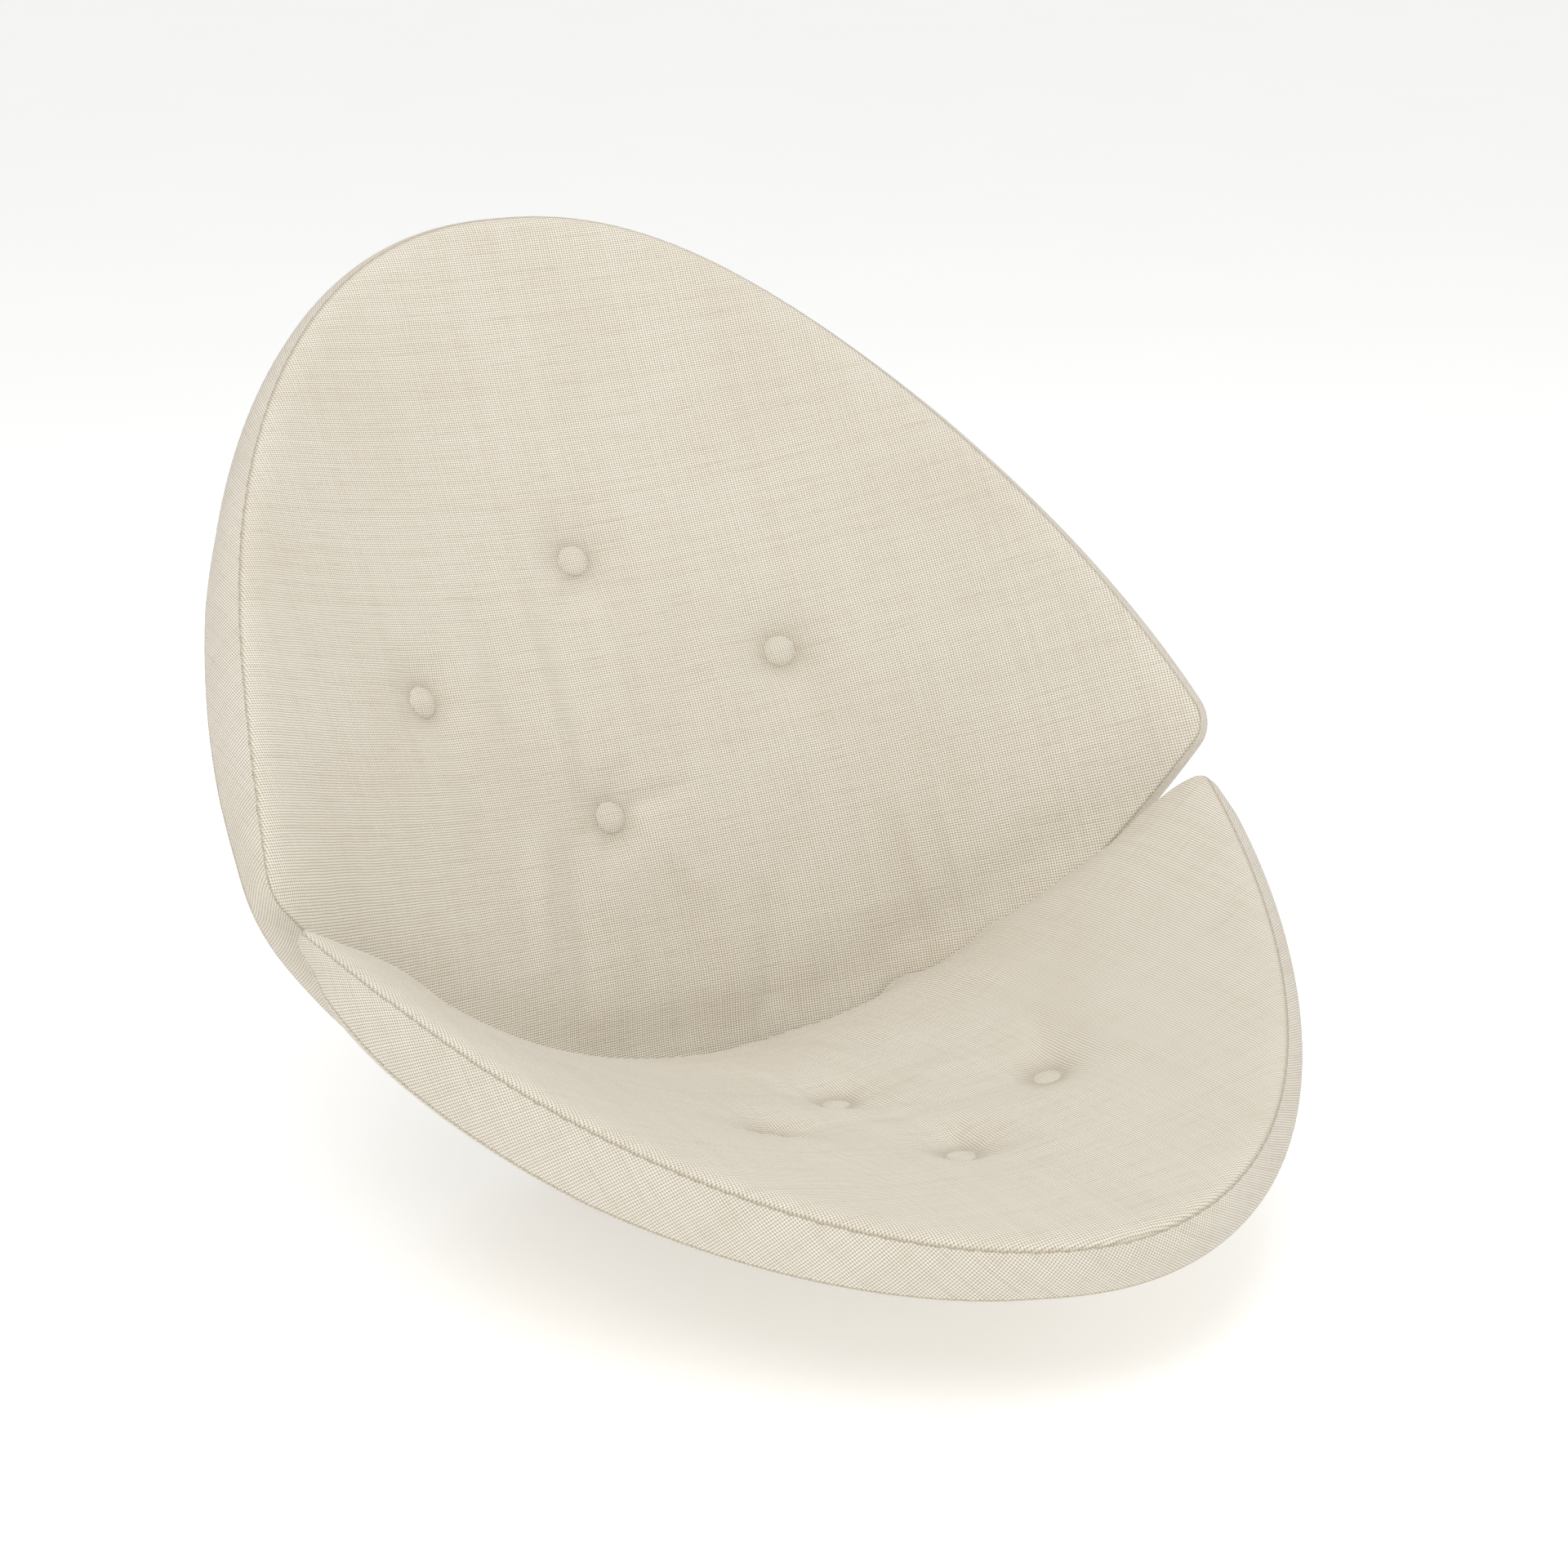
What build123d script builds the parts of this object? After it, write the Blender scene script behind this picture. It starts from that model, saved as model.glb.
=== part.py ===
"""Pad set for a shell lounge chair: a tufted back pad and a winged seat pad, millimetres.

Each pad is a foam slab bent to the chair's shell, in a sewn cover of front panel, boxing strip and
rear panel, held by four covered buttons that are tied through it, with a zip in its rear panel.
+Z is up, the sitter faces -Y, and the origin is where the seat pad's underside rests on the shell.
"""
from build123d import *
import math
import os
from dataclasses import dataclass

os.makedirs("parts", exist_ok=True)

# ---- layers of both pads, counted inwards from the front face
PAD_THICKNESS = 28.0
FABRIC = 1.0
WADDING = 6.0
LAYER_GAP = 0.4
SIDE_GAP = 2.0
PAD_GAP = 1.0
TIP_TAPER = 0.5
TAPER_POWER = 8

# ---- covered buttons and the ties that hold them
BUTTON_DIAMETER = 25.4
BUTTON_HEIGHT = 6.0
BUTTON_STANDOFF = 0.7
COVER_CLOTH = 0.8
SHELL_METAL = 0.6
BACK_PLATE = 0.8
SHANK_DIAMETER = 4.0
SHANK_LENGTH = 5.0
TWINE_DIAMETER = 1.6
TWINE_CLEARANCE = 0.5
ANCHOR_DIAMETER = 18.0
ANCHOR_THICKNESS = 2.4
KNOT_DIAMETER = 4.0

# ---- zip in each rear panel
ZIP_LENGTH = 300.0
ZIP_STANDOFF = 1.5
TAPE_WIDTH = 26.0
TAPE_THICKNESS = 0.6
CHAIN_WIDTH = 4.5
CHAIN_THICKNESS = 1.4
SLIT_WIDTH = 3.0
STOP_LENGTH = 3.0
ZIP_CLEARANCE = 0.3
SLIDER_LENGTH = 9.0
SLIDER_WALL = 1.0
LUG_LENGTH = 4.0
LUG_WIDTH = 2.4
LUG_HEIGHT = 3.2
PIN_DIAMETER = 1.6
PIN_CLEARANCE = 0.1
TAB_LENGTH = 26.0
TAB_THICKNESS = 1.2
TAB_ARM = 1.6

# ---- how finely a bent face is sampled
ACROSS_SAMPLES = 27
ALONG_SAMPLES = 15
CURVE_STEPS = 24
PROJECT_STEPS = 4
MEET_STEPS = 5
FACE_TOLERANCE = 0.05
MIN_HOLLOW = 80.0
SLOPE_STEP = 0.01
SLOPE_LENGTH = 1.0
MEET_BLEND = 12.0


@dataclass(frozen=True)
class PadShape:
    """Size and bend of one pad; u runs across it and v from its wing tips towards its far end."""

    name: str
    half_width: float
    reach: float
    drop: float
    reach_power_u: float
    reach_power_v: float
    drop_power_u: float
    drop_power_v: float
    tip_radius: float
    start_angle: float
    bend: float
    bend_growth: float
    hollow_radius: float
    hollow_growth: float
    hollow_ease: float
    start_y: float
    start_z: float
    front_side: int
    meets: bool = False

    def centre(self, v):
        """Point and direction angle of the centre line, v along it from the wing tips."""
        step = v / CURVE_STEPS
        y = self.start_y
        z = self.start_z
        for k in range(CURVE_STEPS):
            angle = self.angle((k + 0.5) * step)
            y += math.cos(angle) * step
            z += math.sin(angle) * step
        return y, z, self.angle(v)

    def angle(self, v):
        """Direction angle of the centre line, from +Y towards +Z, in radians."""
        turn = self.bend * v + self.bend_growth * v * v
        return math.radians(self.start_angle) + self.front_side * turn

    def section_angle(self, u, v):
        """How far the cross-section has turned at arc length u: a circle that eases out at the wings."""
        radius = max(self.hollow_radius + self.hollow_growth * v, MIN_HOLLOW)
        return abs(u) / radius * (1 - self.hollow_ease * (u / self.half_width) ** 2)

    def mould(self, u, v, depth=0.0):
        """Point at (u, v), depth below the front face, before the origin is moved."""
        y, z, angle = self.centre(v)
        across = 0.0
        rise = 0.0
        for k in range(CURVE_STEPS):
            turned = self.section_angle(u * (k + 0.5) / CURVE_STEPS, v)
            across += math.cos(turned) * abs(u) / CURVE_STEPS
            rise += math.sin(turned) * abs(u) / CURVE_STEPS
        end = self.section_angle(u, v)
        depth *= 1 - TIP_TAPER * (u / self.half_width) ** TAPER_POWER
        across += depth * math.sin(end)
        rise -= depth * math.cos(end)
        normal_y = -math.sin(angle) * self.front_side
        normal_z = math.cos(angle) * self.front_side
        return Vector(math.copysign(across, u), y + rise * normal_y, z + rise * normal_z)

    def point(self, u, v, depth=0.0):
        """Point at (u, v), depth below the front face, with the origin at the seat's rest point."""
        return self.mould(u, v, depth) - ORIGIN_SHIFT

    def plane(self, u, v, depth=0.0):
        """Plane on the pad at (u, v), its z along the front normal and its y along the pad."""
        point = self.point(u, v, depth)
        across = self.point(u + SLOPE_LENGTH, v, depth) - self.point(u - SLOPE_LENGTH, v, depth)
        along = self.point(u, v + SLOPE_LENGTH, depth) - self.point(u, v - SLOPE_LENGTH, depth)
        normal = across.cross(along) * self.front_side
        return Plane(origin=point, x_dir=along.cross(normal), z_dir=normal)

    def ahead_of(self, target, depth, guess):
        """How far a point stands in front of the face at a depth, and its nearest (u, v)."""
        u, v = guess
        for _ in range(PROJECT_STEPS):
            plane = self.plane(u, v, depth)
            offset = target - plane.origin
            u += offset.dot(plane.x_dir) * self.front_side
            v += offset.dot(plane.y_dir)
        return offset.dot(plane.z_dir), (u, v)

    def edge(self, phi, inset, upper):
        """Outline point (u, v): a superellipse half, moved out by the tip radius less the inset."""
        reach, power_u, power_v, side = (
            (self.reach, self.reach_power_u, self.reach_power_v, 1)
            if upper
            else (self.drop, self.drop_power_u, self.drop_power_v, -1)
        )
        wide = self.half_width - self.tip_radius
        tall = reach - self.tip_radius

        def base(p):
            u = wide * math.copysign(abs(math.cos(p)) ** (2 / power_u), math.cos(p))
            v = side * tall * math.sin(p) ** (2 / power_v)
            return u, v

        u, v = base(phi)
        u0, v0 = base(phi - SLOPE_STEP)
        u1, v1 = base(phi + SLOPE_STEP)
        length = math.hypot(u1 - u0, v1 - v0)
        out = (self.tip_radius - inset) * side / length
        return u + (v1 - v0) * out, v - (u1 - u0) * out

    def outline_grid(self, inset, depth):
        """Rows of (u, v) that fill the outline: a Coons patch between its two halves and tip arcs."""
        span = math.pi - SLOPE_STEP * 4
        angles = [SLOPE_STEP * 2 + span * i / (ACROSS_SAMPLES - 1) for i in range(ACROSS_SAMPLES)]
        top = [self.edge(a, inset, True) for a in angles]
        low = [self.edge(a, inset, False) for a in angles]
        if self.meets:
            low = meet_back(self, low, inset, depth)
        right = self.tip_arc(low[0], top[0], 1)
        left = self.tip_arc(low[-1], top[-1], -1)
        rows = []
        for j in range(ALONG_SAMPLES):
            t = j / (ALONG_SAMPLES - 1)
            row = []
            for i in range(ACROSS_SAMPLES):
                s = i / (ACROSS_SAMPLES - 1)
                pair = []
                for k in range(2):
                    sides = (1 - t) * low[i][k] + t * top[i][k]
                    sides += (1 - s) * right[j][k] + s * left[j][k]
                    ends = (1 - s) * ((1 - t) * low[0][k] + t * top[0][k])
                    ends += s * ((1 - t) * low[-1][k] + t * top[-1][k])
                    pair.append(sides - ends)
                row.append(tuple(pair))
            rows.append(row)
        return rows

    def tip_arc(self, start, end, side):
        """Points round a wing tip from the lower half to the upper one."""
        centre = side * (self.half_width - self.tip_radius)
        first = math.atan2(start[1], side * (start[0] - centre))
        last = math.atan2(end[1], side * (end[0] - centre))
        low = math.hypot(start[0] - centre, start[1])
        high = math.hypot(end[0] - centre, end[1])
        arc = []
        for j in range(ALONG_SAMPLES):
            share = j / (ALONG_SAMPLES - 1)
            angle = first + (last - first) * share
            radius = low + (high - low) * share
            arc.append((centre + side * radius * math.cos(angle), radius * math.sin(angle)))
        return arc


BACK = PadShape(
    name="back",
    half_width=440.0,
    reach=502.0,
    drop=225.0,
    reach_power_u=2.27,
    reach_power_v=1.0,
    drop_power_u=1.4,
    drop_power_v=1.0,
    tip_radius=20.0,
    start_angle=64.2,
    bend=-0.91e-3,
    bend_growth=2.41e-6,
    hollow_radius=394.0,
    hollow_growth=0.28,
    hollow_ease=0.3,
    start_y=93.0,
    start_z=106.0,
    front_side=1,
)
SEAT = PadShape(
    name="seat",
    half_width=409.0,
    reach=392.0,
    drop=160.0,
    reach_power_u=1.9,
    reach_power_v=1.0,
    drop_power_u=2.0,
    drop_power_v=1.0,
    tip_radius=10.0,
    start_angle=174.1,
    bend=-0.34e-3,
    bend_growth=0.69e-6,
    hollow_radius=425.0,
    hollow_growth=0.49,
    hollow_ease=0.15,
    start_y=-134.0,
    start_z=-15.0,
    front_side=-1,
    meets=True,
)
REST_V = 150.0
ORIGIN_SHIFT = SEAT.mould(0, REST_V, PAD_THICKNESS)

BACK_TUFTS = {
    "top": (-7.0, 225.0),
    "left": (-182.0, 125.0),
    "right": (138.0, 124.0),
    "lower": (-34.0, 23.0),
}
SEAT_TUFTS = {
    "front": (-9.0, 209.0),
    "left": (-110.0, 130.0),
    "right": (111.0, 140.0),
    "rear": (-20.0, 68.0),
}
BACK_ZIP_V = -70.0
SEAT_ZIP_V = 20.0

# ---- sizes worked out from those above
INNER_INSET = FABRIC + SIDE_GAP
WADDING_TOP = FABRIC + LAYER_GAP
FOAM_TOP = WADDING_TOP + WADDING + LAYER_GAP
FOAM_BOTTOM = PAD_THICKNESS - FABRIC - LAYER_GAP
TWINE_HOLE = TWINE_DIAMETER / 2 + TWINE_CLEARANCE
SHANK_HOLE = SHANK_DIAMETER / 2 + TWINE_CLEARANCE

# ---- which side of a piece sits on its plane
HANGING = (Align.CENTER, Align.CENTER, Align.MAX)
STANDING = (Align.CENTER, Align.CENTER, Align.MIN)
LYING = (Align.MIN, Align.CENTER, Align.CENTER)


def meet_back(shape, low, inset, depth):
    """Rear edge of a pad at a depth, held a gap in front of the back pad's face.

    The edge is solved at the pad's two faces and runs straight between them, so that the layers nest.
    """
    share = depth / PAD_THICKNESS
    met = []
    for u, v in low:
        ends = []
        for level in (0.0, PAD_THICKNESS):
            here = v
            guess = (u, -abs(v))
            for _ in range(MEET_STEPS):
                spare, guess = BACK.ahead_of(shape.point(u, here, level), 0.0, guess)
                here += PAD_GAP + inset - spare
            ends.append(here)
        here = ends[0] + (ends[1] - ends[0]) * share
        blend = math.hypot(v - here, MEET_BLEND)
        met.append((u, (v + here + blend) / 2))
    return met


def bent_face(shape, depth, inset):
    """Face of a pad at one depth, its outline taken in by inset."""
    grid = shape.outline_grid(inset, depth)
    rows = [[shape.point(u, v, depth) for u, v in row] for row in grid]
    return Face.make_surface_from_array_of_points(rows, tol=FACE_TOLERANCE, min_deg=3)


def walls(first, second):
    """Ruled faces that join the nearest edges of two bent faces."""
    joined = []
    for edge in first.edges():
        mate = min(second.edges(), key=lambda e: (e.center() - edge.center()).length)
        joined.append(Face.make_surface_from_curves(edge, mate))
    return joined


def slab(shape, top, bottom, inset=0.0):
    """Closed solid between two depths of a pad, its outline taken in by inset."""
    upper = bent_face(shape, top, inset)
    lower = bent_face(shape, bottom, inset)
    return Solid(Shell([upper, lower] + walls(upper, lower)))


def ring(shape, top, bottom, width):
    """Closed strip round a pad's outline between two depths, width thick."""
    outer = [bent_face(shape, depth, 0.0) for depth in (top, bottom)]
    inner = [bent_face(shape, depth, width) for depth in (top, bottom)]
    sides = walls(*outer) + walls(*inner)
    rims = walls(outer[0], inner[0]) + walls(outer[1], inner[1])
    return Solid(Shell(sides + rims))


def write(node, name):
    """Label a finished sub-part and write its STEP file."""
    node.part.label = name
    export_step(node.part, f"parts/{name}.step")


def pad_layers(shape, tufts, zip_v):
    """Front panel, boxing strip, rear panel, wadding and foam core of one pad."""
    layers = {
        "front_panel": (0.0, FABRIC, 0.0, SHANK_HOLE),
        "wadding": (WADDING_TOP, WADDING_TOP + WADDING, INNER_INSET, SHANK_HOLE),
        "foam_core": (FOAM_TOP, FOAM_BOTTOM, INNER_INSET, TWINE_HOLE),
        "rear_panel": (PAD_THICKNESS - FABRIC, PAD_THICKNESS, 0.0, TWINE_HOLE),
    }
    for part, (top, bottom, inset, hole) in layers.items():
        with BuildPart() as layer:
            add(slab(shape, top, bottom, inset))
            with Locations(*[shape.plane(u, v, -BUTTON_STANDOFF) for u, v in tufts.values()]):
                Cylinder(radius=hole, height=3 * PAD_THICKNESS, mode=Mode.SUBTRACT)
            if part == "rear_panel":
                slit = ZIP_LENGTH - 2 * TAPE_WIDTH
                with Locations(shape.plane(0, zip_v, PAD_THICKNESS)):
                    Box(slit, SLIT_WIDTH, 6 * PAD_THICKNESS, mode=Mode.SUBTRACT)
        write(layer, f"{shape.name}_{part}")

    with BuildPart() as boxing:
        add(ring(shape, WADDING_TOP, PAD_THICKNESS - WADDING_TOP, FABRIC))
    write(boxing, f"{shape.name}_boxing")


def tuft(shape, place, u, v):
    """One covered button, its metal shell and shanked plate, the twine and the rear anchor."""
    radius = BUTTON_DIAMETER / 2
    front = shape.plane(u, v, -BUTTON_STANDOFF)
    span = PAD_THICKNESS + LAYER_GAP + BUTTON_STANDOFF
    rear = front.offset(-span)
    rim = SHELL_METAL + COVER_CLOTH

    def crown(inset):
        """Middle of the dome's arc, inset inwards: the arc is centred on the button's axis."""
        side = radius - inset
        rise = BUTTON_HEIGHT - inset - rim
        sphere = (side**2 + rise**2) / (2 * rise)
        half = math.asin(side / sphere) / 2
        return sphere * math.sin(half), BUTTON_HEIGHT - inset - sphere * (1 - math.cos(half))

    def cap(outer, inner, name):
        """Thin domed shell between two insets, open underneath."""
        with BuildPart() as shell:
            with BuildSketch(Plane.XZ):
                with BuildLine():
                    Line((radius - inner, 0), (radius - outer, 0))
                    Line((radius - outer, 0), (radius - outer, rim))
                    ThreePointArc((radius - outer, rim), crown(outer), (0, BUTTON_HEIGHT - outer))
                    Line((0, BUTTON_HEIGHT - outer), (0, BUTTON_HEIGHT - inner))
                    ThreePointArc((0, BUTTON_HEIGHT - inner), crown(inner), (radius - inner, rim))
                    Line((radius - inner, rim), (radius - inner, 0))
                make_face()
            revolve(axis=Axis.Z)
        with BuildPart(front) as piece:
            add(shell.part)
        write(piece, f"{shape.name}_{name}_{place}")

    cap(0.0, COVER_CLOTH, "button_cover")
    cap(COVER_CLOTH + PIN_CLEARANCE, rim, "button_shell")

    with BuildPart(front) as plate:
        with Locations((0, 0, BACK_PLATE)):
            Cylinder(radius - rim - PIN_CLEARANCE, BACK_PLATE, align=HANGING)
        Cylinder(SHANK_DIAMETER / 2, SHANK_LENGTH, align=HANGING)
        with Locations((0, 0, -SHANK_LENGTH + SHANK_DIAMETER / 2)):
            Cylinder(TWINE_DIAMETER / 2, SHANK_DIAMETER, rotation=(90, 0, 0), mode=Mode.SUBTRACT)
    write(plate, f"{shape.name}_button_plate_{place}")

    with BuildPart(rear) as anchor:
        Cylinder(ANCHOR_DIAMETER / 2, ANCHOR_THICKNESS, align=HANGING)
        Cylinder(TWINE_HOLE, 3 * ANCHOR_THICKNESS, mode=Mode.SUBTRACT)
        circles = anchor.edges().filter_by(GeomType.CIRCLE)
        fillet(circles.group_by(SortBy.RADIUS)[-1], ANCHOR_THICKNESS / 4)
    write(anchor, f"{shape.name}_anchor_{place}")

    with BuildPart(rear) as twine:
        with Locations((0, 0, span - SHANK_LENGTH - LAYER_GAP)):
            length = span - SHANK_LENGTH + ANCHOR_THICKNESS + KNOT_DIAMETER / 2
            Cylinder(TWINE_DIAMETER / 2, length, align=HANGING)
        with Locations((0, 0, -ANCHOR_THICKNESS - LAYER_GAP - KNOT_DIAMETER / 2)):
            Sphere(KNOT_DIAMETER / 2)
    write(twine, f"{shape.name}_twine_{place}")


def zip_closure(shape, zip_v):
    """Tape, chain, end stops, slider and pull tab, on an arc that follows the rear panel."""
    section = shape.plane(0, zip_v, PAD_THICKNESS)
    reach = section.to_local_coords(shape.point(ZIP_LENGTH / 2, zip_v, PAD_THICKNESS))
    sagitta = reach.Z
    radius = (reach.X**2 + sagitta**2) / (2 * sagitta)
    half_turn = math.degrees(math.asin(abs(reach.X) / radius))
    tape_in = radius + ZIP_STANDOFF
    tape_out = tape_in + TAPE_THICKNESS
    chain_out = tape_out + CHAIN_THICKNESS
    arc_plane = Plane(
        origin=section.origin + section.z_dir * radius,
        x_dir=-section.z_dir,
        z_dir=section.y_dir,
    )

    def band(inner, outer, width, start, end):
        """Part of a ring on the zip's arc, between two radii and two angles."""
        with BuildPart() as ring:
            with BuildSketch(arc_plane):
                with BuildLine():
                    first = PolarLine((0, 0), outer, start, mode=Mode.PRIVATE)
                    last = PolarLine((0, 0), outer, end, mode=Mode.PRIVATE)
                    CenterArc((0, 0), outer, start, end - start)
                    CenterArc((0, 0), inner, start, end - start)
                    Line(first @ (inner / outer), first @ 1)
                    Line(last @ (inner / outer), last @ 1)
                make_face()
            extrude(amount=width / 2, both=True)
        return ring.part

    margin = math.degrees(STOP_LENGTH / radius)
    with BuildPart() as tape:
        add(band(tape_in, tape_out, TAPE_WIDTH, -half_turn, half_turn))
    write(tape, f"{shape.name}_zip_tape")

    chain_end = half_turn - 3 * margin
    with BuildPart() as chain:
        add(band(tape_out, chain_out, CHAIN_WIDTH, -chain_end, chain_end))
    write(chain, f"{shape.name}_zip_chain")

    with BuildPart() as stops:
        for side in (-1, 1):
            start = side * (chain_end + 1.5 * margin) - margin / 2
            add(band(tape_out, chain_out + ZIP_CLEARANCE, CHAIN_WIDTH, start, start + margin))
    write(stops, f"{shape.name}_zip_stops")

    closed = chain_end - math.degrees(SLIDER_LENGTH / radius)
    turn = math.radians(closed)
    outward = arc_plane.x_dir * math.cos(turn) + arc_plane.y_dir * math.sin(turn)
    along = arc_plane.y_dir * math.cos(turn) - arc_plane.x_dir * math.sin(turn)
    seat_plane = Plane(origin=arc_plane.origin + outward * tape_out, x_dir=along, z_dir=outward)
    channel = CHAIN_WIDTH + 2 * ZIP_CLEARANCE
    roof = CHAIN_THICKNESS + ZIP_CLEARANCE
    lug_top = roof + SLIDER_WALL + LUG_HEIGHT
    pin_height = lug_top - LUG_LENGTH / 2
    with BuildPart(seat_plane) as slider:
        with Locations((0, 0, ZIP_CLEARANCE)):
            height = roof + SLIDER_WALL - ZIP_CLEARANCE
            Box(SLIDER_LENGTH, channel + 2 * SLIDER_WALL, height, align=STANDING)
        fillet(slider.edges().filter_by(Axis(seat_plane.origin, outward)), SLIDER_WALL)
        Box(2 * SLIDER_LENGTH, channel, roof, align=STANDING, mode=Mode.SUBTRACT)
        with Locations((0, 0, roof + SLIDER_WALL)):
            Box(LUG_LENGTH, LUG_WIDTH, LUG_HEIGHT, align=STANDING)
        with Locations((0, 0, pin_height)):
            bore = (PIN_DIAMETER + PIN_CLEARANCE) / 2
            Cylinder(bore, 2 * LUG_WIDTH, rotation=(90, 0, 0), mode=Mode.SUBTRACT)
    write(slider, f"{shape.name}_zip_slider")

    inside = LUG_WIDTH + 2 * ZIP_CLEARANCE
    tab_width = inside + 2 * TAB_ARM
    plate_start = LUG_LENGTH / 2 + PIN_DIAMETER
    with BuildPart(seat_plane) as pull:
        with Locations((-TAB_THICKNESS / 2, 0, pin_height)):
            Box(TAB_LENGTH, tab_width, TAB_THICKNESS, align=LYING)
        corners = pull.edges().filter_by(Axis(seat_plane.origin, outward))
        fillet(corners.group_by(Axis(seat_plane.origin, along))[-1], TAB_ARM)
        with Locations((-TAB_LENGTH + plate_start, 0, pin_height)):
            Box(TAB_LENGTH, inside, LUG_LENGTH, align=LYING, mode=Mode.SUBTRACT)
        with Locations((0, 0, pin_height)):
            Cylinder(PIN_DIAMETER / 2, tab_width, rotation=(90, 0, 0))
    write(pull, f"{shape.name}_zip_pull")

    travel = closed + chain_end - math.degrees(SLIDER_LENGTH / radius)
    pin = seat_plane.origin + outward * pin_height
    print(shape.name, "zip centre", arc_plane.origin, "axis", arc_plane.z_dir, "travel", round(-travel, 2))
    print(shape.name, "pull pin", pin, "axis", seat_plane.y_dir, "radius", round(radius, 2))


for pad, ties, zip_place in ((BACK, BACK_TUFTS, BACK_ZIP_V), (SEAT, SEAT_TUFTS, SEAT_ZIP_V)):
    pad_layers(pad, ties, zip_place)
    for where, (across, along_pad) in ties.items():
        tuft(pad, where, across, along_pad)
    zip_closure(pad, zip_place)
print("seat rest", SEAT.point(0, REST_V, PAD_THICKNESS))
print("back rest", BACK.plane(0, REST_V, PAD_THICKNESS))
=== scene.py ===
"""Looks of a shell chair's pad set: a tufted back pad and a winged seat pad in woven cloth.

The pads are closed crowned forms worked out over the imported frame, puffed by cloth simulation
between their ties. Lengths are millimetres until a mesh is written, which is in metres.
"""
import logging
import math
from dataclasses import dataclass
from enum import Enum
from typing import Any

import bpy
import numpy as np
from mathutils import Matrix, Vector


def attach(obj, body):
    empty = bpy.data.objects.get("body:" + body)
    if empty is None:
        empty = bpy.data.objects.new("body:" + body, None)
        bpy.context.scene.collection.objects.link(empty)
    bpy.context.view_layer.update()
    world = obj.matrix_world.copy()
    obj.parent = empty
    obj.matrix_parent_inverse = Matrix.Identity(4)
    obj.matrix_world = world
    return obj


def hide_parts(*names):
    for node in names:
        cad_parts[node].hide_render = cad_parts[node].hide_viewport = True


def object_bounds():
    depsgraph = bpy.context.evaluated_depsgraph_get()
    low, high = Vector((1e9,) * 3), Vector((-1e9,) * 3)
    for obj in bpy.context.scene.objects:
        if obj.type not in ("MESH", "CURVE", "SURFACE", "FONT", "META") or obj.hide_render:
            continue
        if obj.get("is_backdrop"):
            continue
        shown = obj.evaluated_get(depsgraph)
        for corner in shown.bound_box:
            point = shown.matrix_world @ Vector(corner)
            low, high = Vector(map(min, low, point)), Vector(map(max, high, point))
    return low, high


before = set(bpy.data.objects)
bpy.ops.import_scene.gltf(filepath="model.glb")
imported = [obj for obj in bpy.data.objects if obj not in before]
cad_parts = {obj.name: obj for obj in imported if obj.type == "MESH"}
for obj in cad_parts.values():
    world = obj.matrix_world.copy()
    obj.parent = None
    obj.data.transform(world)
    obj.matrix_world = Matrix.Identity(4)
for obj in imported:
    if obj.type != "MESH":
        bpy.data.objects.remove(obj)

LOG = logging.getLogger("pads")
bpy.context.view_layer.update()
Array = np.ndarray
Colour = tuple[float, float, float, float]
MM = 0.001
PAD_GAP = 1.0
MEET_BLEND = 12.0
THICKNESS = 28.0
TIP_TAPER = 0.3
TAPER_POWER = 8
REST_V = 150.0
BUTTON_RADIUS = 12.7
OUTLINE_POINTS = 4000
ROUGH_OUTLINE_POINTS = 1600
SIM_FRAMES = 20
DRAWING_FRAMES = 10
CLOTH_SETTINGS = {
    "quality": 5,
    "mass": 0.25,
    "vertex_group_mass": "pins",
    "tension_stiffness": 18,
    "compression_stiffness": 18,
    "shear_stiffness": 6,
    "bending_stiffness": 0.8,
    "use_pressure": True,
}


class Side(Enum):
    """Which way a pad's front face lies from its centre line's left-hand normal."""

    LEFT = 1
    RIGHT = -1


# ---------------------------------------------------------------- shader building


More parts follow.
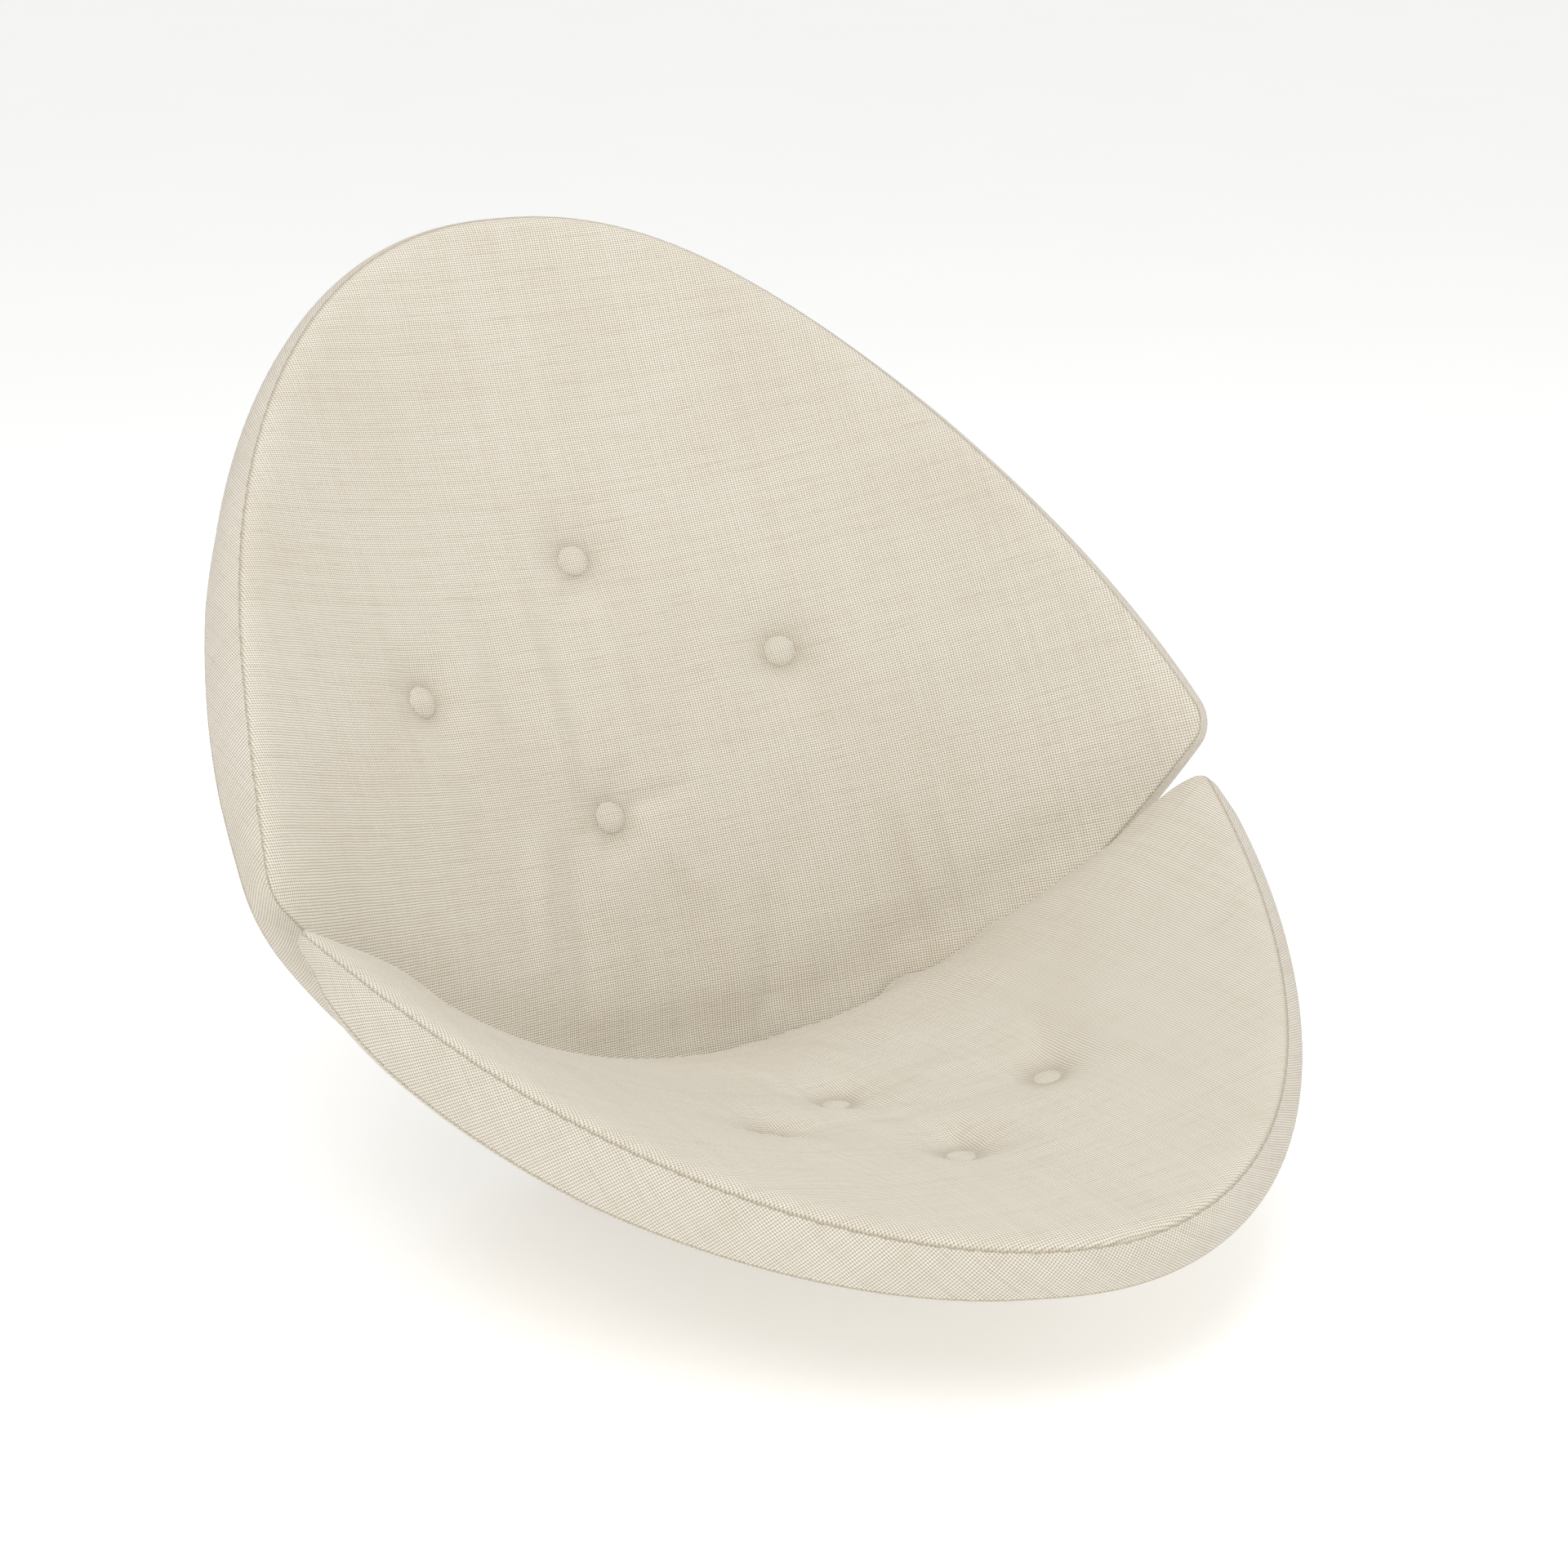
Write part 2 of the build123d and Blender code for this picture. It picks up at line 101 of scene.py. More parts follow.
class Value:
    """A shader socket that carries a number; arithmetic on it adds Math nodes."""

    def __init__(self, tree: bpy.types.NodeTree, socket: Any) -> None:
        """Wraps a socket, or a plain number, of a node tree."""
        self.tree = tree
        self.socket = socket

    def _math(self, operation: str, *others: Any, clamp: bool = False) -> "Value":
        """Adds one Math node.

        Args:
            operation: The Math node's operation.
            others: Further operands, as numbers or Values.
            clamp: Whether the result is held between 0 and 1.

        Returns:
            The node's output.
        """
        node = self.tree.nodes.new("ShaderNodeMath")
        node.operation = operation
        node.use_clamp = clamp
        for slot, operand in zip(node.inputs, (self, *others)):
            content = operand.socket if isinstance(operand, Value) else operand
            if isinstance(content, bpy.types.NodeSocket):
                self.tree.links.new(content, slot)
            else:
                slot.default_value = content
        return Value(self.tree, node.outputs[0])

    def __add__(self, other: Any) -> "Value":
        """Sum."""
        return self._math("ADD", other)

    def __radd__(self, other: Any) -> "Value":
        """Sum with a number on the left."""
        return self._math("ADD", other)

    def __sub__(self, other: Any) -> "Value":
        """Difference."""
        return self._math("SUBTRACT", other)

    def __rsub__(self, other: Any) -> "Value":
        """Difference from a number on the left."""
        return Value(self.tree, other)._math("SUBTRACT", self)

    def __mul__(self, other: Any) -> "Value":
        """Product."""
        return self._math("MULTIPLY", other)

    def __rmul__(self, other: Any) -> "Value":
        """Product with a number on the left."""
        return self._math("MULTIPLY", other)

    def __truediv__(self, other: Any) -> "Value":
        """Quotient."""
        return self._math("DIVIDE", other)

    def sine(self) -> "Value":
        """Sine."""
        return self._math("SINE")

    def floor(self) -> "Value":
        """Whole part."""
        return self._math("FLOOR")

    def fraction(self) -> "Value":
        """Part after the point."""
        return self._math("FRACT")

    def larger(self, other: "Value") -> "Value":
        """The larger of two values."""
        return self._math("MAXIMUM", other)

    def held(self) -> "Value":
        """The value held between 0 and 1."""
        return self._math("ADD", 0.0, clamp=True)


class Paint:
    """One material's node tree, with short calls for the nodes that finishes use."""

    def __init__(self, name: str) -> None:
        """Makes an empty material with a Principled shader."""
        self.material = bpy.data.materials.new(name)
        self.material.use_nodes = True
        self.tree = self.material.node_tree
        self.shader = next(n for n in self.tree.nodes if n.type == "BSDF_PRINCIPLED")

    def node(self, kind: str, settings: dict[str, Any], inputs: dict[Any, Any]) -> bpy.types.Node:
        """Adds any node: its settings are set first, then its sockets.

        Args:
            kind: The node's type name.
            settings: Properties of the node.
            inputs: Values, links or Values by socket name or number.

        Returns:
            The new node.
        """
        node = self.tree.nodes.new(kind)
        for key, setting in settings.items():
            setattr(node, key, setting)
        for key, content in inputs.items():
            self.feed(node.inputs[key], content)
        return node

    def feed(self, socket: bpy.types.NodeSocket, content: Any) -> None:
        """Links or sets one socket."""
        if isinstance(content, Value):
            content = content.socket
        if isinstance(content, bpy.types.NodeSocket):
            self.tree.links.new(content, socket)
        else:
            socket.default_value = content

    def shade(self, **inputs: Any) -> None:
        """Feeds the Principled shader; underscores in the names stand for spaces."""
        for key, content in inputs.items():
            self.feed(self.shader.inputs[key.replace("_", " ")], content)

    def object_place(self) -> bpy.types.NodeSocket:
        """Place on the piece in the object's frame."""
        return self.node("ShaderNodeTexCoord", {}, {}).outputs["Object"]

    def value(self, socket: bpy.types.NodeSocket) -> Value:
        """Wraps a socket for arithmetic."""
        return Value(self.tree, socket)

    def blend(self, factor: Any, first: Any, second: Any) -> bpy.types.NodeSocket:
        """Colour between two colours.

        Args:
            factor: Share of the second colour.
            first: Colour at 0.
            second: Colour at 1.

        Returns:
            The mixed colour's socket.
        """
        node = self.node("ShaderNodeMix", {"data_type": "RGBA"}, {0: factor, 6: first, 7: second})
        return node.outputs[2]

    def noise(self, vector: Any, scale: float, detail: float = 2.0) -> Value:
        """Fractal noise, about 0.5 on average."""
        node = self.node("ShaderNodeTexNoise", {}, {"Vector": vector, "Scale": scale, "Detail": detail})
        return self.value(node.outputs[0])

    def bump(self, height: Value, distance: float, strength: float) -> bpy.types.NodeSocket:
        """Normal of a height field.

        Args:
            height: Height, from 0 to 1.
            distance: Real height of 1, in metres.
            strength: How much of it shows.

        Returns:
            The normal's socket.
        """
        inputs = {"Height": height, "Distance": distance, "Strength": strength}
        return self.node("ShaderNodeBump", {}, inputs).outputs[0]


def srgb(red: int, green: int, blue: int) -> Colour:
    """Screen colour, 0 to 255, as the linear colour that sockets take."""
    shares = [channel / 255 for channel in (red, green, blue)]
    linear = [c / 12.92 if c <= 10 / 255 else ((c + 0.055) / 1.055) ** 2.4 for c in shares]
    return (*linear, 1.0)


@dataclass(frozen=True)
class WovenCloth:
    """Coarse plain weave: warp ribs along the piece, thinner weft picks and slubs across it."""

    name: str
    thread: Colour
    gap: Colour
    slub: Colour
    warp_pitch: float = 2.1 * MM
    weft_pitch: float = 1.8 * MM
    waver: float = 0.35
    relief: float = 0.5 * MM
    rise: float = 0.62
    roughness: float = 0.93

    def make(self) -> bpy.types.Material:
        """Builds the material.

        The two thread profiles are parabolas across each thread. A chequer of the two sines says
        which thread is on top, and the higher of the two gives the height and the gap's shade.

        Returns:
            The material.
        """
        paint = Paint(self.name)
        place = paint.node("ShaderNodeUVMap", {"uv_map": "weave"}, {}).outputs[0]
        split = paint.node("ShaderNodeSeparateXYZ", {}, {0: place})
        drift = paint.noise(place, 60.0, 1.0) - 0.5
        drift_far = paint.noise(place, 14.0, 1.0) - 0.5
        near, far = drift * self.waver, drift_far * (3 * self.waver)
        across = paint.value(split.outputs[0]) / self.warp_pitch + near + far
        along = paint.value(split.outputs[1]) / self.weft_pitch + near - far
        chequer = (across * math.pi).sine() * (along * math.pi).sine()
        over = (chequer * 1.6 + 0.5).held()
        warp = self._profile(across)
        weft = self._profile(along)
        low = 1 - self.rise
        height = (warp * (over * self.rise + low)).larger(weft * ((1 - over) * self.rise + low))
        shade = (height * 2.1 - 0.55).held()

        threads = self._each(paint, across, 0.0) * 0.5 + self._each(paint, along, 40.0) * 0.5
        stretch = paint.node(
            "ShaderNodeMapping", {"vector_type": "POINT"}, {"Vector": place, "Scale": (22.0, 520.0, 1.0)}
        ).outputs[0]
        streak = ((paint.noise(stretch, 1.0, 2.0) - 0.56) * 5).held()
        cloud = paint.noise(place, 7.0, 3.0)
        yarn = paint.blend(streak * 0.5, self.thread, self.slub)
        yarn = paint.blend((cloud - 0.42) * 0.75, yarn, self.slub)
        yarn = paint.blend((threads - 0.35) * 0.5, yarn, self.slub)
        colour = paint.blend(1 - shade, yarn, self.gap)
        # Painted shade: the colour darkens towards the gap colour along the seams and round each button's
        # dimple.
        crease_shade = paint.value(paint.node("ShaderNodeAttribute", {"attribute_name": "crease_shade"}, {}).outputs[2])
        colour = paint.blend(crease_shade * 0.85, colour, self.gap)
        fuzz = paint.noise(place, 2600.0, 2.0)
        relief = paint.bump(height + streak * 0.25 + threads * 0.15 + fuzz * 0.12, self.relief, 0.9)
        paint.shade(
            Base_Color=colour,
            Roughness=self.roughness - shade * 0.1,
            Normal=relief,
            Sheen_Weight=0.16,
            Sheen_Roughness=0.6,
            Specular_IOR_Level=0.16,
        )
        return paint.material

    @staticmethod
    def _profile(count: Value) -> Value:
        """Height across each thread: 1 - (2 f - 1)^2 of the part f after the point."""
        centred = count.fraction() * 2 - 1
        return 1 - centred * centred

    @staticmethod
    def _each(paint: Paint, count: Value, offset: float) -> Value:
        """A fixed random value for each thread."""
        number = count.floor() + offset
        node = paint.node("ShaderNodeTexWhiteNoise", {"noise_dimensions": "1D"}, {"W": number})
        return paint.value(node.outputs[0])


@dataclass(frozen=True)
class TapeCloth:
    """Tight tape with slanted ribs in object space, as on a zip."""

    name: str
    colour: Colour
    dark: Colour
    pitch: float = 0.9 * MM

    def make(self) -> bpy.types.Material:
        """Builds the material: one set of slanted ribs with a fine grain.

        Returns:
            The material.
        """
        paint = Paint(self.name)
        place = paint.object_place()
        split = paint.node("ShaderNodeSeparateXYZ", {}, {0: place})
        across = paint.value(split.outputs[0]) / self.pitch
        height_axis = paint.value(split.outputs[2]) / self.pitch
        ribs = (across * math.pi + height_axis * math.pi).sine() * 0.5 + 0.5
        grain = paint.noise(place, 900.0, 2.0)
        colour = paint.blend(ribs * 0.5 + grain * 0.3, self.dark, self.colour)
        paint.shade(
            Base_Color=colour,
            Roughness=0.85 - grain * 0.1,
            Normal=paint.bump(ribs + grain * 0.4, 0.15 * MM, 0.8),
            Sheen_Weight=0.1,
        )
        return paint.material


@dataclass(frozen=True)
class Metal:
    """Plated or bare metal with fine wear."""

    name: str
    colour: Colour
    worn: Colour
    roughness: float

    def make(self) -> bpy.types.Material:
        """Builds the material: faint scratches and cloudy plating.

        Returns:
            The material.
        """
        paint = Paint(self.name)
        place = paint.object_place()
        stretch = paint.node("ShaderNodeMapping", {}, {"Vector": place, "Scale": (300.0, 300.0, 2600.0)})
        cloud = paint.noise(place, 260.0, 4.0)
        scratch = paint.noise(stretch.outputs[0], 1.0, 3.0)
        paint.shade(
            Base_Color=paint.blend((cloud - 0.35) * 1.4, self.colour, self.worn),
            Metallic=1.0,
            Roughness=self.roughness + cloud * 0.18,
            Normal=paint.bump(scratch, 0.02 * MM, 0.6),
        )
        return paint.material


@dataclass(frozen=True)
class Moulded:
    """Injection-moulded plastic with a fine spark texture."""

    name: str
    colour: Colour
    shade: Colour

    def make(self) -> bpy.types.Material:
        """Builds the material: low-contrast tone and a fine pitted skin.

        Returns:
            The material.
        """
        paint = Paint(self.name)
        place = paint.object_place()
        tone = paint.noise(place, 120.0, 3.0)
        grain = paint.noise(place, 3200.0, 2.0)
        paint.shade(
            Base_Color=paint.blend(tone, self.colour, self.shade),
            Roughness=0.42 + grain * 0.2,
            Normal=paint.bump(grain, 0.03 * MM, 0.7),
        )
        return paint.material


@dataclass(frozen=True)
class Twisted:
    """Waxed twine: plies that wind round the thread as slanted ribs."""

    name: str
    colour: Colour
    dark: Colour
    lay: float = 1.1 * MM

    def make(self) -> bpy.types.Material:
        """Builds the material: ribs slanted in object space, with a few loose fibres.

        Returns:
            The material.
        """
        paint = Paint(self.name)
        place = paint.object_place()
        split = paint.node("ShaderNodeSeparateXYZ", {}, {0: place})
        slant = paint.value(split.outputs[0]) + paint.value(split.outputs[1]) + paint.value(split.outputs[2])
        ply = (slant * (2 * math.pi / self.lay)).sine() * 0.5 + 0.5
        fibre = paint.noise(place, 2400.0, 3.0)
        paint.shade(
            Base_Color=paint.blend(ply * 0.7 + fibre * 0.3, self.dark, self.colour),
            Roughness=0.62 + fibre * 0.2,
            Normal=paint.bump(ply + fibre * 0.3, 0.2 * MM, 0.9),
        )
        return paint.material


# ---------------------------------------------------------------- meshes


def ordered_quads(rows: Array, closed: bool = False, flip: bool = False) -> Array:
    """Quads of a grid of vertex numbers.

    Args:
        rows: Vertex numbers, rows by columns.
        closed: Whether the last column joins the first.
        flip: Whether the faces turn the other way.

    Returns:
        Four vertex numbers for each face.
    """
    grid = np.concatenate([rows, rows[:, :1]], axis=1) if closed else rows
    quads = np.stack([grid[:-1, :-1], grid[:-1, 1:], grid[1:, 1:], grid[1:, :-1]], axis=-1).reshape(-1, 4)
    return quads[:, ::-1] if flip else quads


def new_piece(
    name: str,
    points: Array,
    quads: Array,
    materials: list[bpy.types.Material],
    uv: Array | None = None,
    indices: Array | None = None,
) -> bpy.types.Object:
    """Makes a smooth-shaded object at the origin.

    Args:
        name: The piece's name.
        points: Vertex places, millimetres.
        quads: Four vertex numbers for each face.
        materials: Its materials.
        uv: Place on the cloth for each face corner, millimetres.
        indices: Material number for each face.

    Returns:
        The object, linked to the scene.
    """
    mesh = bpy.data.meshes.new(name)
    mesh.vertices.add(len(points))
    mesh.vertices.foreach_set("co", (np.asarray(points, float) * MM).ravel())
    mesh.loops.add(quads.size)
    mesh.loops.foreach_set("vertex_index", np.ascontiguousarray(quads, np.int32).ravel())
    mesh.polygons.add(len(quads))
    mesh.polygons.foreach_set("loop_start", np.arange(0, quads.size, 4, dtype=np.int32))
    for material in materials:
        mesh.materials.append(material)
    if indices is not None:
        mesh.polygons.foreach_set("material_index", np.ascontiguousarray(indices, np.int32))
    mesh.update(calc_edges=True)
    mesh.shade_smooth()
    if uv is not None:
        layer = mesh.uv_layers.new(name="weave")
        layer.data.foreach_set("uv", (np.asarray(uv, float) * MM).ravel())
    piece = bpy.data.objects.new(name, mesh)
    bpy.context.scene.collection.objects.link(piece)
    return piece


# ---------------------------------------------------------------- pad forms


@dataclass(frozen=True)
class PadForm:
    """Outline and bend of one pad: u runs across it and v from its wing tips to its far end."""

    half_width: float
    reach: float
    drop: float
    reach_power: float
    drop_power: float
    tip_radius: float
    start_angle: float
    bend: float
    bend_growth: float
    hollow_radius: float
    hollow_growth: float
    hollow_ease: float
    start: tuple[float, float]
    side: Side
    meets: bool = False
    left_stretch: float = 0.0
    steps: int = 24

    def _angle(self, v: Array) -> Array:
        """Direction angle of the centre line: a start plus a bend that grows with v."""
        return math.radians(self.start_angle) + self.side.value * (self.bend * v + self.bend_growth * v * v)

    def _turned(self, u: Array, v: Array) -> Array:
        """How far the section has turned at arc length u: a circle that eases out at the wings."""
        radius = self.hollow_radius + self.hollow_growth * v
        return np.abs(u) / radius * (1 - self.hollow_ease * (u / self.half_width) ** 2)

    def mould(self, u: Array, v: Array, depth: Array | float = 0.0) -> Array:
        """Places on the pad, before the origin is moved to the rest point.

        The centre line is the running sum of the cosine and sine of its angle. The section is the
        same sum across it, standing on the centre line's normal, and depth goes below the section.

        Args:
            u: Arc length across the pad.
            v: Arc length along it.
            depth: Depth below the front face.

        Returns:
            Places, with a last axis of three.
        """
        u, v, depth = np.broadcast_arrays(*(np.asarray(a, float) for a in (u, v, depth)))
        middle = (np.arange(self.steps) + 0.5) / self.steps
        angles = self._angle(v[..., None] * middle)
        y = self.start[0] + np.cos(angles).mean(-1) * v
        z = self.start[1] + np.sin(angles).mean(-1) * v
        turned = self._turned(u[..., None] * middle, v[..., None])
        across = np.cos(turned).mean(-1) * np.abs(u)
        rise = np.sin(turned).mean(-1) * np.abs(u)
        end = self._turned(u, v)
        deep = depth * (1 - TIP_TAPER * np.clip(np.abs(u) / self.half_width, 0, 1.02) ** TAPER_POWER)
        across = across + deep * np.sin(end)
        rise = rise - deep * np.cos(end)
        angle = self._angle(v)
        normal_y = -np.sin(angle) * self.side.value
        normal_z = np.cos(angle) * self.side.value
        return np.stack([np.sign(u) * across, y + rise * normal_y, z + rise * normal_z], -1)

    def place(self, u: Array, v: Array, depth: Array | float = 0.0) -> Array:
        """Places on the pad in the object's own frame."""
        return self.mould(u, v, depth) - REST

    def axes(self, u: Array, v: Array) -> tuple[Array, Array, Array]:
        """Unit directions across, along and out of the front face at (u, v)."""
        across = self.place(u + 1, v) - self.place(u - 1, v)
        along = self.place(u, v + 1) - self.place(u, v - 1)
        normal = np.cross(across, along) * self.side.value
        return tuple(a / np.linalg.norm(a, axis=-1, keepdims=True) for a in (across, along, normal))

    def ahead(self, target: Array, u: Array, v: Array) -> tuple[Array, Array, Array]:
        """How far points stand in front of the face.

        Args:
            target: Points to test.
            u: First guess of their nearest u.
            v: First guess of their nearest v.

        Returns:
            The distances and the nearest u and v.
        """
        for _ in range(5):
            across, along, normal = self.axes(u, v)
            offset = target - self.place(u, v)
            u = u + (offset * across).sum(-1)
            v = v + (offset * along).sum(-1)
        return (offset * normal).sum(-1), u, v

    def outlines(self, count: int) -> tuple[Array, Array]:
        """Closed outlines of the front and rear faces, point for point, at even arc length.

        Each is two superellipse halves, offset by the tip radius and joined by arcs at the tips.

        Args:
            count: How many points.

        Returns:
            Points (u, v) of the front and of the rear, anticlockwise from the right-hand tip.
        """
        wide = self.half_width - self.tip_radius
        angles = np.linspace(0.002, math.pi - 0.002, 900)
        halves = []
        for tall, power, sign in ((self.reach, self.reach_power, 1), (self.drop, self.drop_power, -1)):
            u = wide * np.sign(np.cos(angles)) * np.abs(np.cos(angles)) ** (2 / power)
            u = u * (1 + self.left_stretch * np.clip(-u / wide, 0, 1) ** 4)
            v = sign * (tall - self.tip_radius) * np.sin(angles) ** 2
            du, dv = np.gradient(u), np.gradient(v)
            out = self.tip_radius * sign / np.hypot(du, dv)
            halves.append(np.stack([u + dv * out, v - du * out], -1))
        upper, lower = halves
        levels = [lower, lower]
        if self.meets:
            levels = [self._meet_back(lower, depth) for depth in (0.0, THICKNESS)]
        loops = []
        for low in levels:
            left = self._tip(upper[-1], low[-1], -1)
            right = self._tip(low[0], upper[0], 1)
            loops.append(np.concatenate([upper, left, low[::-1], right]))
        lengths = np.linalg.norm(np.roll(loops[0], -1, 0) - loops[0], axis=1)
        run = np.concatenate([[0], np.cumsum(lengths)])
        at = np.linspace(0, run[-1], count, endpoint=False)
        closed = [np.concatenate([loop, loop[:1]]) for loop in loops]
        front, rear = (np.stack([np.interp(at, run, c[:, k]) for k in range(2)], -1) for c in closed)
        return front, rear

    def _tip(self, first: Array, last: Array, sign: int) -> Array:
        """Arc round a wing tip, from one half's end to the other's start."""
        centre = sign * (self.half_width - self.tip_radius)
        centre = centre * (1 + self.left_stretch) if sign < 0 else centre
        angles = [math.atan2(p[1], sign * (p[0] - centre)) for p in (first, last)]
        radii = [math.hypot(p[0] - centre, p[1]) for p in (first, last)]
        share = np.linspace(0, 1, 40)[1:-1]
        angle = angles[0] + (angles[1] - angles[0]) * share
        radius = radii[0] + (radii[1] - radii[0]) * share
        return np.stack([centre + sign * radius * np.cos(angle), radius * np.sin(angle)], -1)

    def _meet_back(self, lower: Array, depth: float) -> Array:
        """Rear edge at a depth, held a gap in front of the back pad's face."""
        u, v = lower[:, 0], lower[:, 1]
        here, near_u, near_v = v.copy(), u.copy(), -np.abs(v)
        for _ in range(6):
            spare, near_u, near_v = BACK_FORM.ahead(self.place(u, here, depth), near_u, near_v)
            here = here + PAD_GAP - spare
        return np.stack([u, (v + here + np.hypot(v - here, MEET_BLEND)) / 2], -1)


BACK_FORM = PadForm(
    half_width=440.0,
    reach=502.0,
    drop=225.0,
    reach_power=2.27,
    drop_power=1.4,
    tip_radius=20.0,
    start_angle=64.2,
    bend=-0.91e-3,
    bend_growth=2.41e-6,
    hollow_radius=394.0,
    hollow_growth=0.28,
    hollow_ease=0.3,
    start=(93.0, 106.0),
    side=Side.LEFT,
)
SEAT_FORM = PadForm(
    half_width=409.0,
    reach=392.0,
    drop=160.0,
    reach_power=1.9,
    drop_power=2.0,
    tip_radius=10.0,
    start_angle=174.1,
    bend=-0.34e-3,
    bend_growth=0.69e-6,
    hollow_radius=425.0,
    hollow_growth=0.49,
    hollow_ease=0.15,
    start=(-134.0, -15.0),
    side=Side.RIGHT,
    meets=True,
    left_stretch=0.05,
)
REST = SEAT_FORM.mould(np.array(0.0), np.array(REST_V), THICKNESS)


@dataclass(frozen=True)
class Fold:
    """One soft fold in the cover, between two points (u, v); a negative height is a groove."""

    start: tuple[float, float]
    end: tuple[float, float]
    width: float
    height: float

    def height_at(self, u: Array, v: Array) -> Array:
        """Gaussian ridge across the line, fading out towards both its ends."""
        start, end = np.array(self.start), np.array(self.end)
        line = end - start
        length = np.linalg.norm(line)
        along = ((u - start[0]) * line[0] + (v - start[1]) * line[1]) / length**2
        off = ((u - start[0]) * line[1] - (v - start[1]) * line[0]) / length
        fade = np.clip(along, 0, 1) * (1 - np.clip(along, 0, 1)) * 4
        return self.height * np.exp(-((off / self.width) ** 2)) * fade**0.8


@dataclass
class Pad:
    """One pad's cover over its wadding and foam, as a single closed crowned form."""

    name: str
    body: str
    form: PadForm
    tufts: dict[str, tuple[float, float]]
    folds: list[Fold]
    zip_v: float
    crown: float
    shoulder: float
    shoulder_width: float
    tuft_spread: float
    bulge: float
    cloth: bpy.types.Material
    strip: bpy.types.Material
    fill: float = 0.75
    rings: int = 64
    sim_rings: int = 44
    boxing_rows: int = 12
    edge_rows: tuple[float, ...] = (0.0, 0.0016, 0.0037, 0.0068, 0.0115, 0.018, 0.028, 0.042, 0.06)
    button_radius: float = BUTTON_RADIUS
    strip_slant: float = 38.0
    strip_length: float = 1.12
    seam_depth: float = 1.1
    seam_width: float = 1.1
    nose_depth: float = 5.0
    pressure: float = 4.0
    move_cap: float = 16.0
    heart: tuple[float, float] = (0.0, 120.0)

    def build(self) -> bpy.types.Object:
        """Works out the form, puffs it and writes the mesh.

        Returns:
            The pad, subdivided once.
        """
        square, radius = self._square(self.rings)
        inward = self._eased(radius)
        front_loop, rear_loop = self.form.outlines(OUTLINE_POINTS)
        u, v = self._spread(square, radius, inward, front_loop)
        rear_u, rear_v = self._spread(square, radius, inward, rear_loop)
        edge = self._distance(u, v, front_loop[::3])
        rear_edge = self._distance(rear_u, rear_v, rear_loop[::3])
        height = self._front_height(u, v, edge)
        front = self.form.place(u, v, -height)
        front = front + self._puff(square * (inward / np.maximum(radius, 1e-9))[..., None], u, v, edge)
        rear_depth = THICKNESS + self._rear_height(rear_u, rear_v, rear_edge)
        rear = self.form.place(rear_u, rear_v, rear_depth)
        count = 2 * self.rings + 1
        ids = np.arange(count * count).reshape(count, count)
        loop = self._loop(ids)
        rims = [np.stack([a.ravel()[loop], b.ravel()[loop]], -1) for a, b in ((u, v), (rear_u, rear_v))]
        strip, strip_uv = self._boxing(rims, -height.ravel()[loop], rear_depth.ravel()[loop])
        base = count * count
        inner = base + np.arange(strip.shape[0] * len(loop)).reshape(strip.shape[0], len(loop))
        rear_ids = ids + base + inner.size
        points = np.concatenate([front.reshape(-1, 3), strip.reshape(-1, 3), rear.reshape(-1, 3)])
        out = self.form.side is Side.LEFT
        front_quads = ordered_quads(ids, flip=out)
        wall = np.concatenate([loop[None], inner, self._loop(rear_ids)[None]])
        wall_quads = ordered_quads(wall, closed=True, flip=out)
        rear_quads = ordered_quads(rear_ids, flip=not out)
        corner_uv = np.zeros((len(points), 2))
        corner_uv[:base] = np.stack([u.ravel(), v.ravel()], -1)
        corner_uv[-base:] = np.stack([rear_u.ravel(), rear_v.ravel()], -1)
        uv_rows = np.arange(strip_uv.shape[0] * strip_uv.shape[1]).reshape(strip_uv.shape[:2])
        wall_uv = strip_uv.reshape(-1, 2)[ordered_quads(uv_rows, flip=out)]
        uv = np.concatenate([corner_uv[front_quads], wall_uv, corner_uv[rear_quads]]).reshape(-1, 2)
        indices = np.repeat([0, 1, 0], [len(front_quads), len(wall_quads), len(rear_quads)])
        quads = np.concatenate([front_quads, wall_quads, rear_quads])
        piece = new_piece(f"{self.name}_pad_cover", points, quads, [self.cloth, self.strip], uv, indices)
        self._mark_crease_shade(piece, u, v, edge, rear_edge, inner.size)
        modifier = piece.modifiers.new("smooth", "SUBSURF")
        modifier.levels = modifier.render_levels = 1
        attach(piece, self.body)
        layers = ("front_panel", "boxing", "rear_panel", "wadding", "foam_core")
        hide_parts(*[f"{self.name}_{layer}" for layer in layers])
        LOG.info("%s: %d faces", piece.name, len(quads))
        return piece

    @staticmethod
    def _square(rings: int) -> tuple[Array, Array]:
        """Square grid from -1 to 1 both ways, and each point's ring, its larger coordinate."""
        line = np.linspace(-1, 1, 2 * rings + 1)
        square = np.stack(np.meshgrid(line, line, indexing="ij"), -1)
        return square, np.abs(square).max(-1)

    def _eased(self, radius: Array) -> Array:
        """Ring radius on the pad: close rows at the seam, then even rows to the heart."""
        rows = np.array(self.edge_rows)
        rest = np.linspace(rows[-1], 1, self.rings + 2 - len(rows))[1:]
        steps = 1 - np.concatenate([rows, rest])
        return np.interp(radius, np.linspace(0, 1, self.rings + 1), steps[::-1])

    def _spread(self, square: Array, radius: Array, inward: Array, outline: Array) -> tuple[Array, Array]:
        """Lays the square grid over the pad: ring r is the outline scaled by r about the heart."""
        unit = square / np.maximum(radius, 1e-9)[..., None]
        s, t = unit[..., 0], unit[..., 1]
        turn = np.select(
            [s >= 1 - 1e-9, t >= 1 - 1e-9, s <= -1 + 1e-9], [t / 8, (2 - s) / 8, (4 - t) / 8], (6 + s) / 8
        )
        closed = np.concatenate([outline, outline[:1]])
        at = np.linspace(0, 1, len(closed))
        heart_u, heart_v = self.heart
        u = np.interp(turn % 1, at, closed[:, 0])
        v = np.interp(turn % 1, at, closed[:, 1])
        return heart_u + (u - heart_u) * inward, heart_v + (v - heart_v) * inward

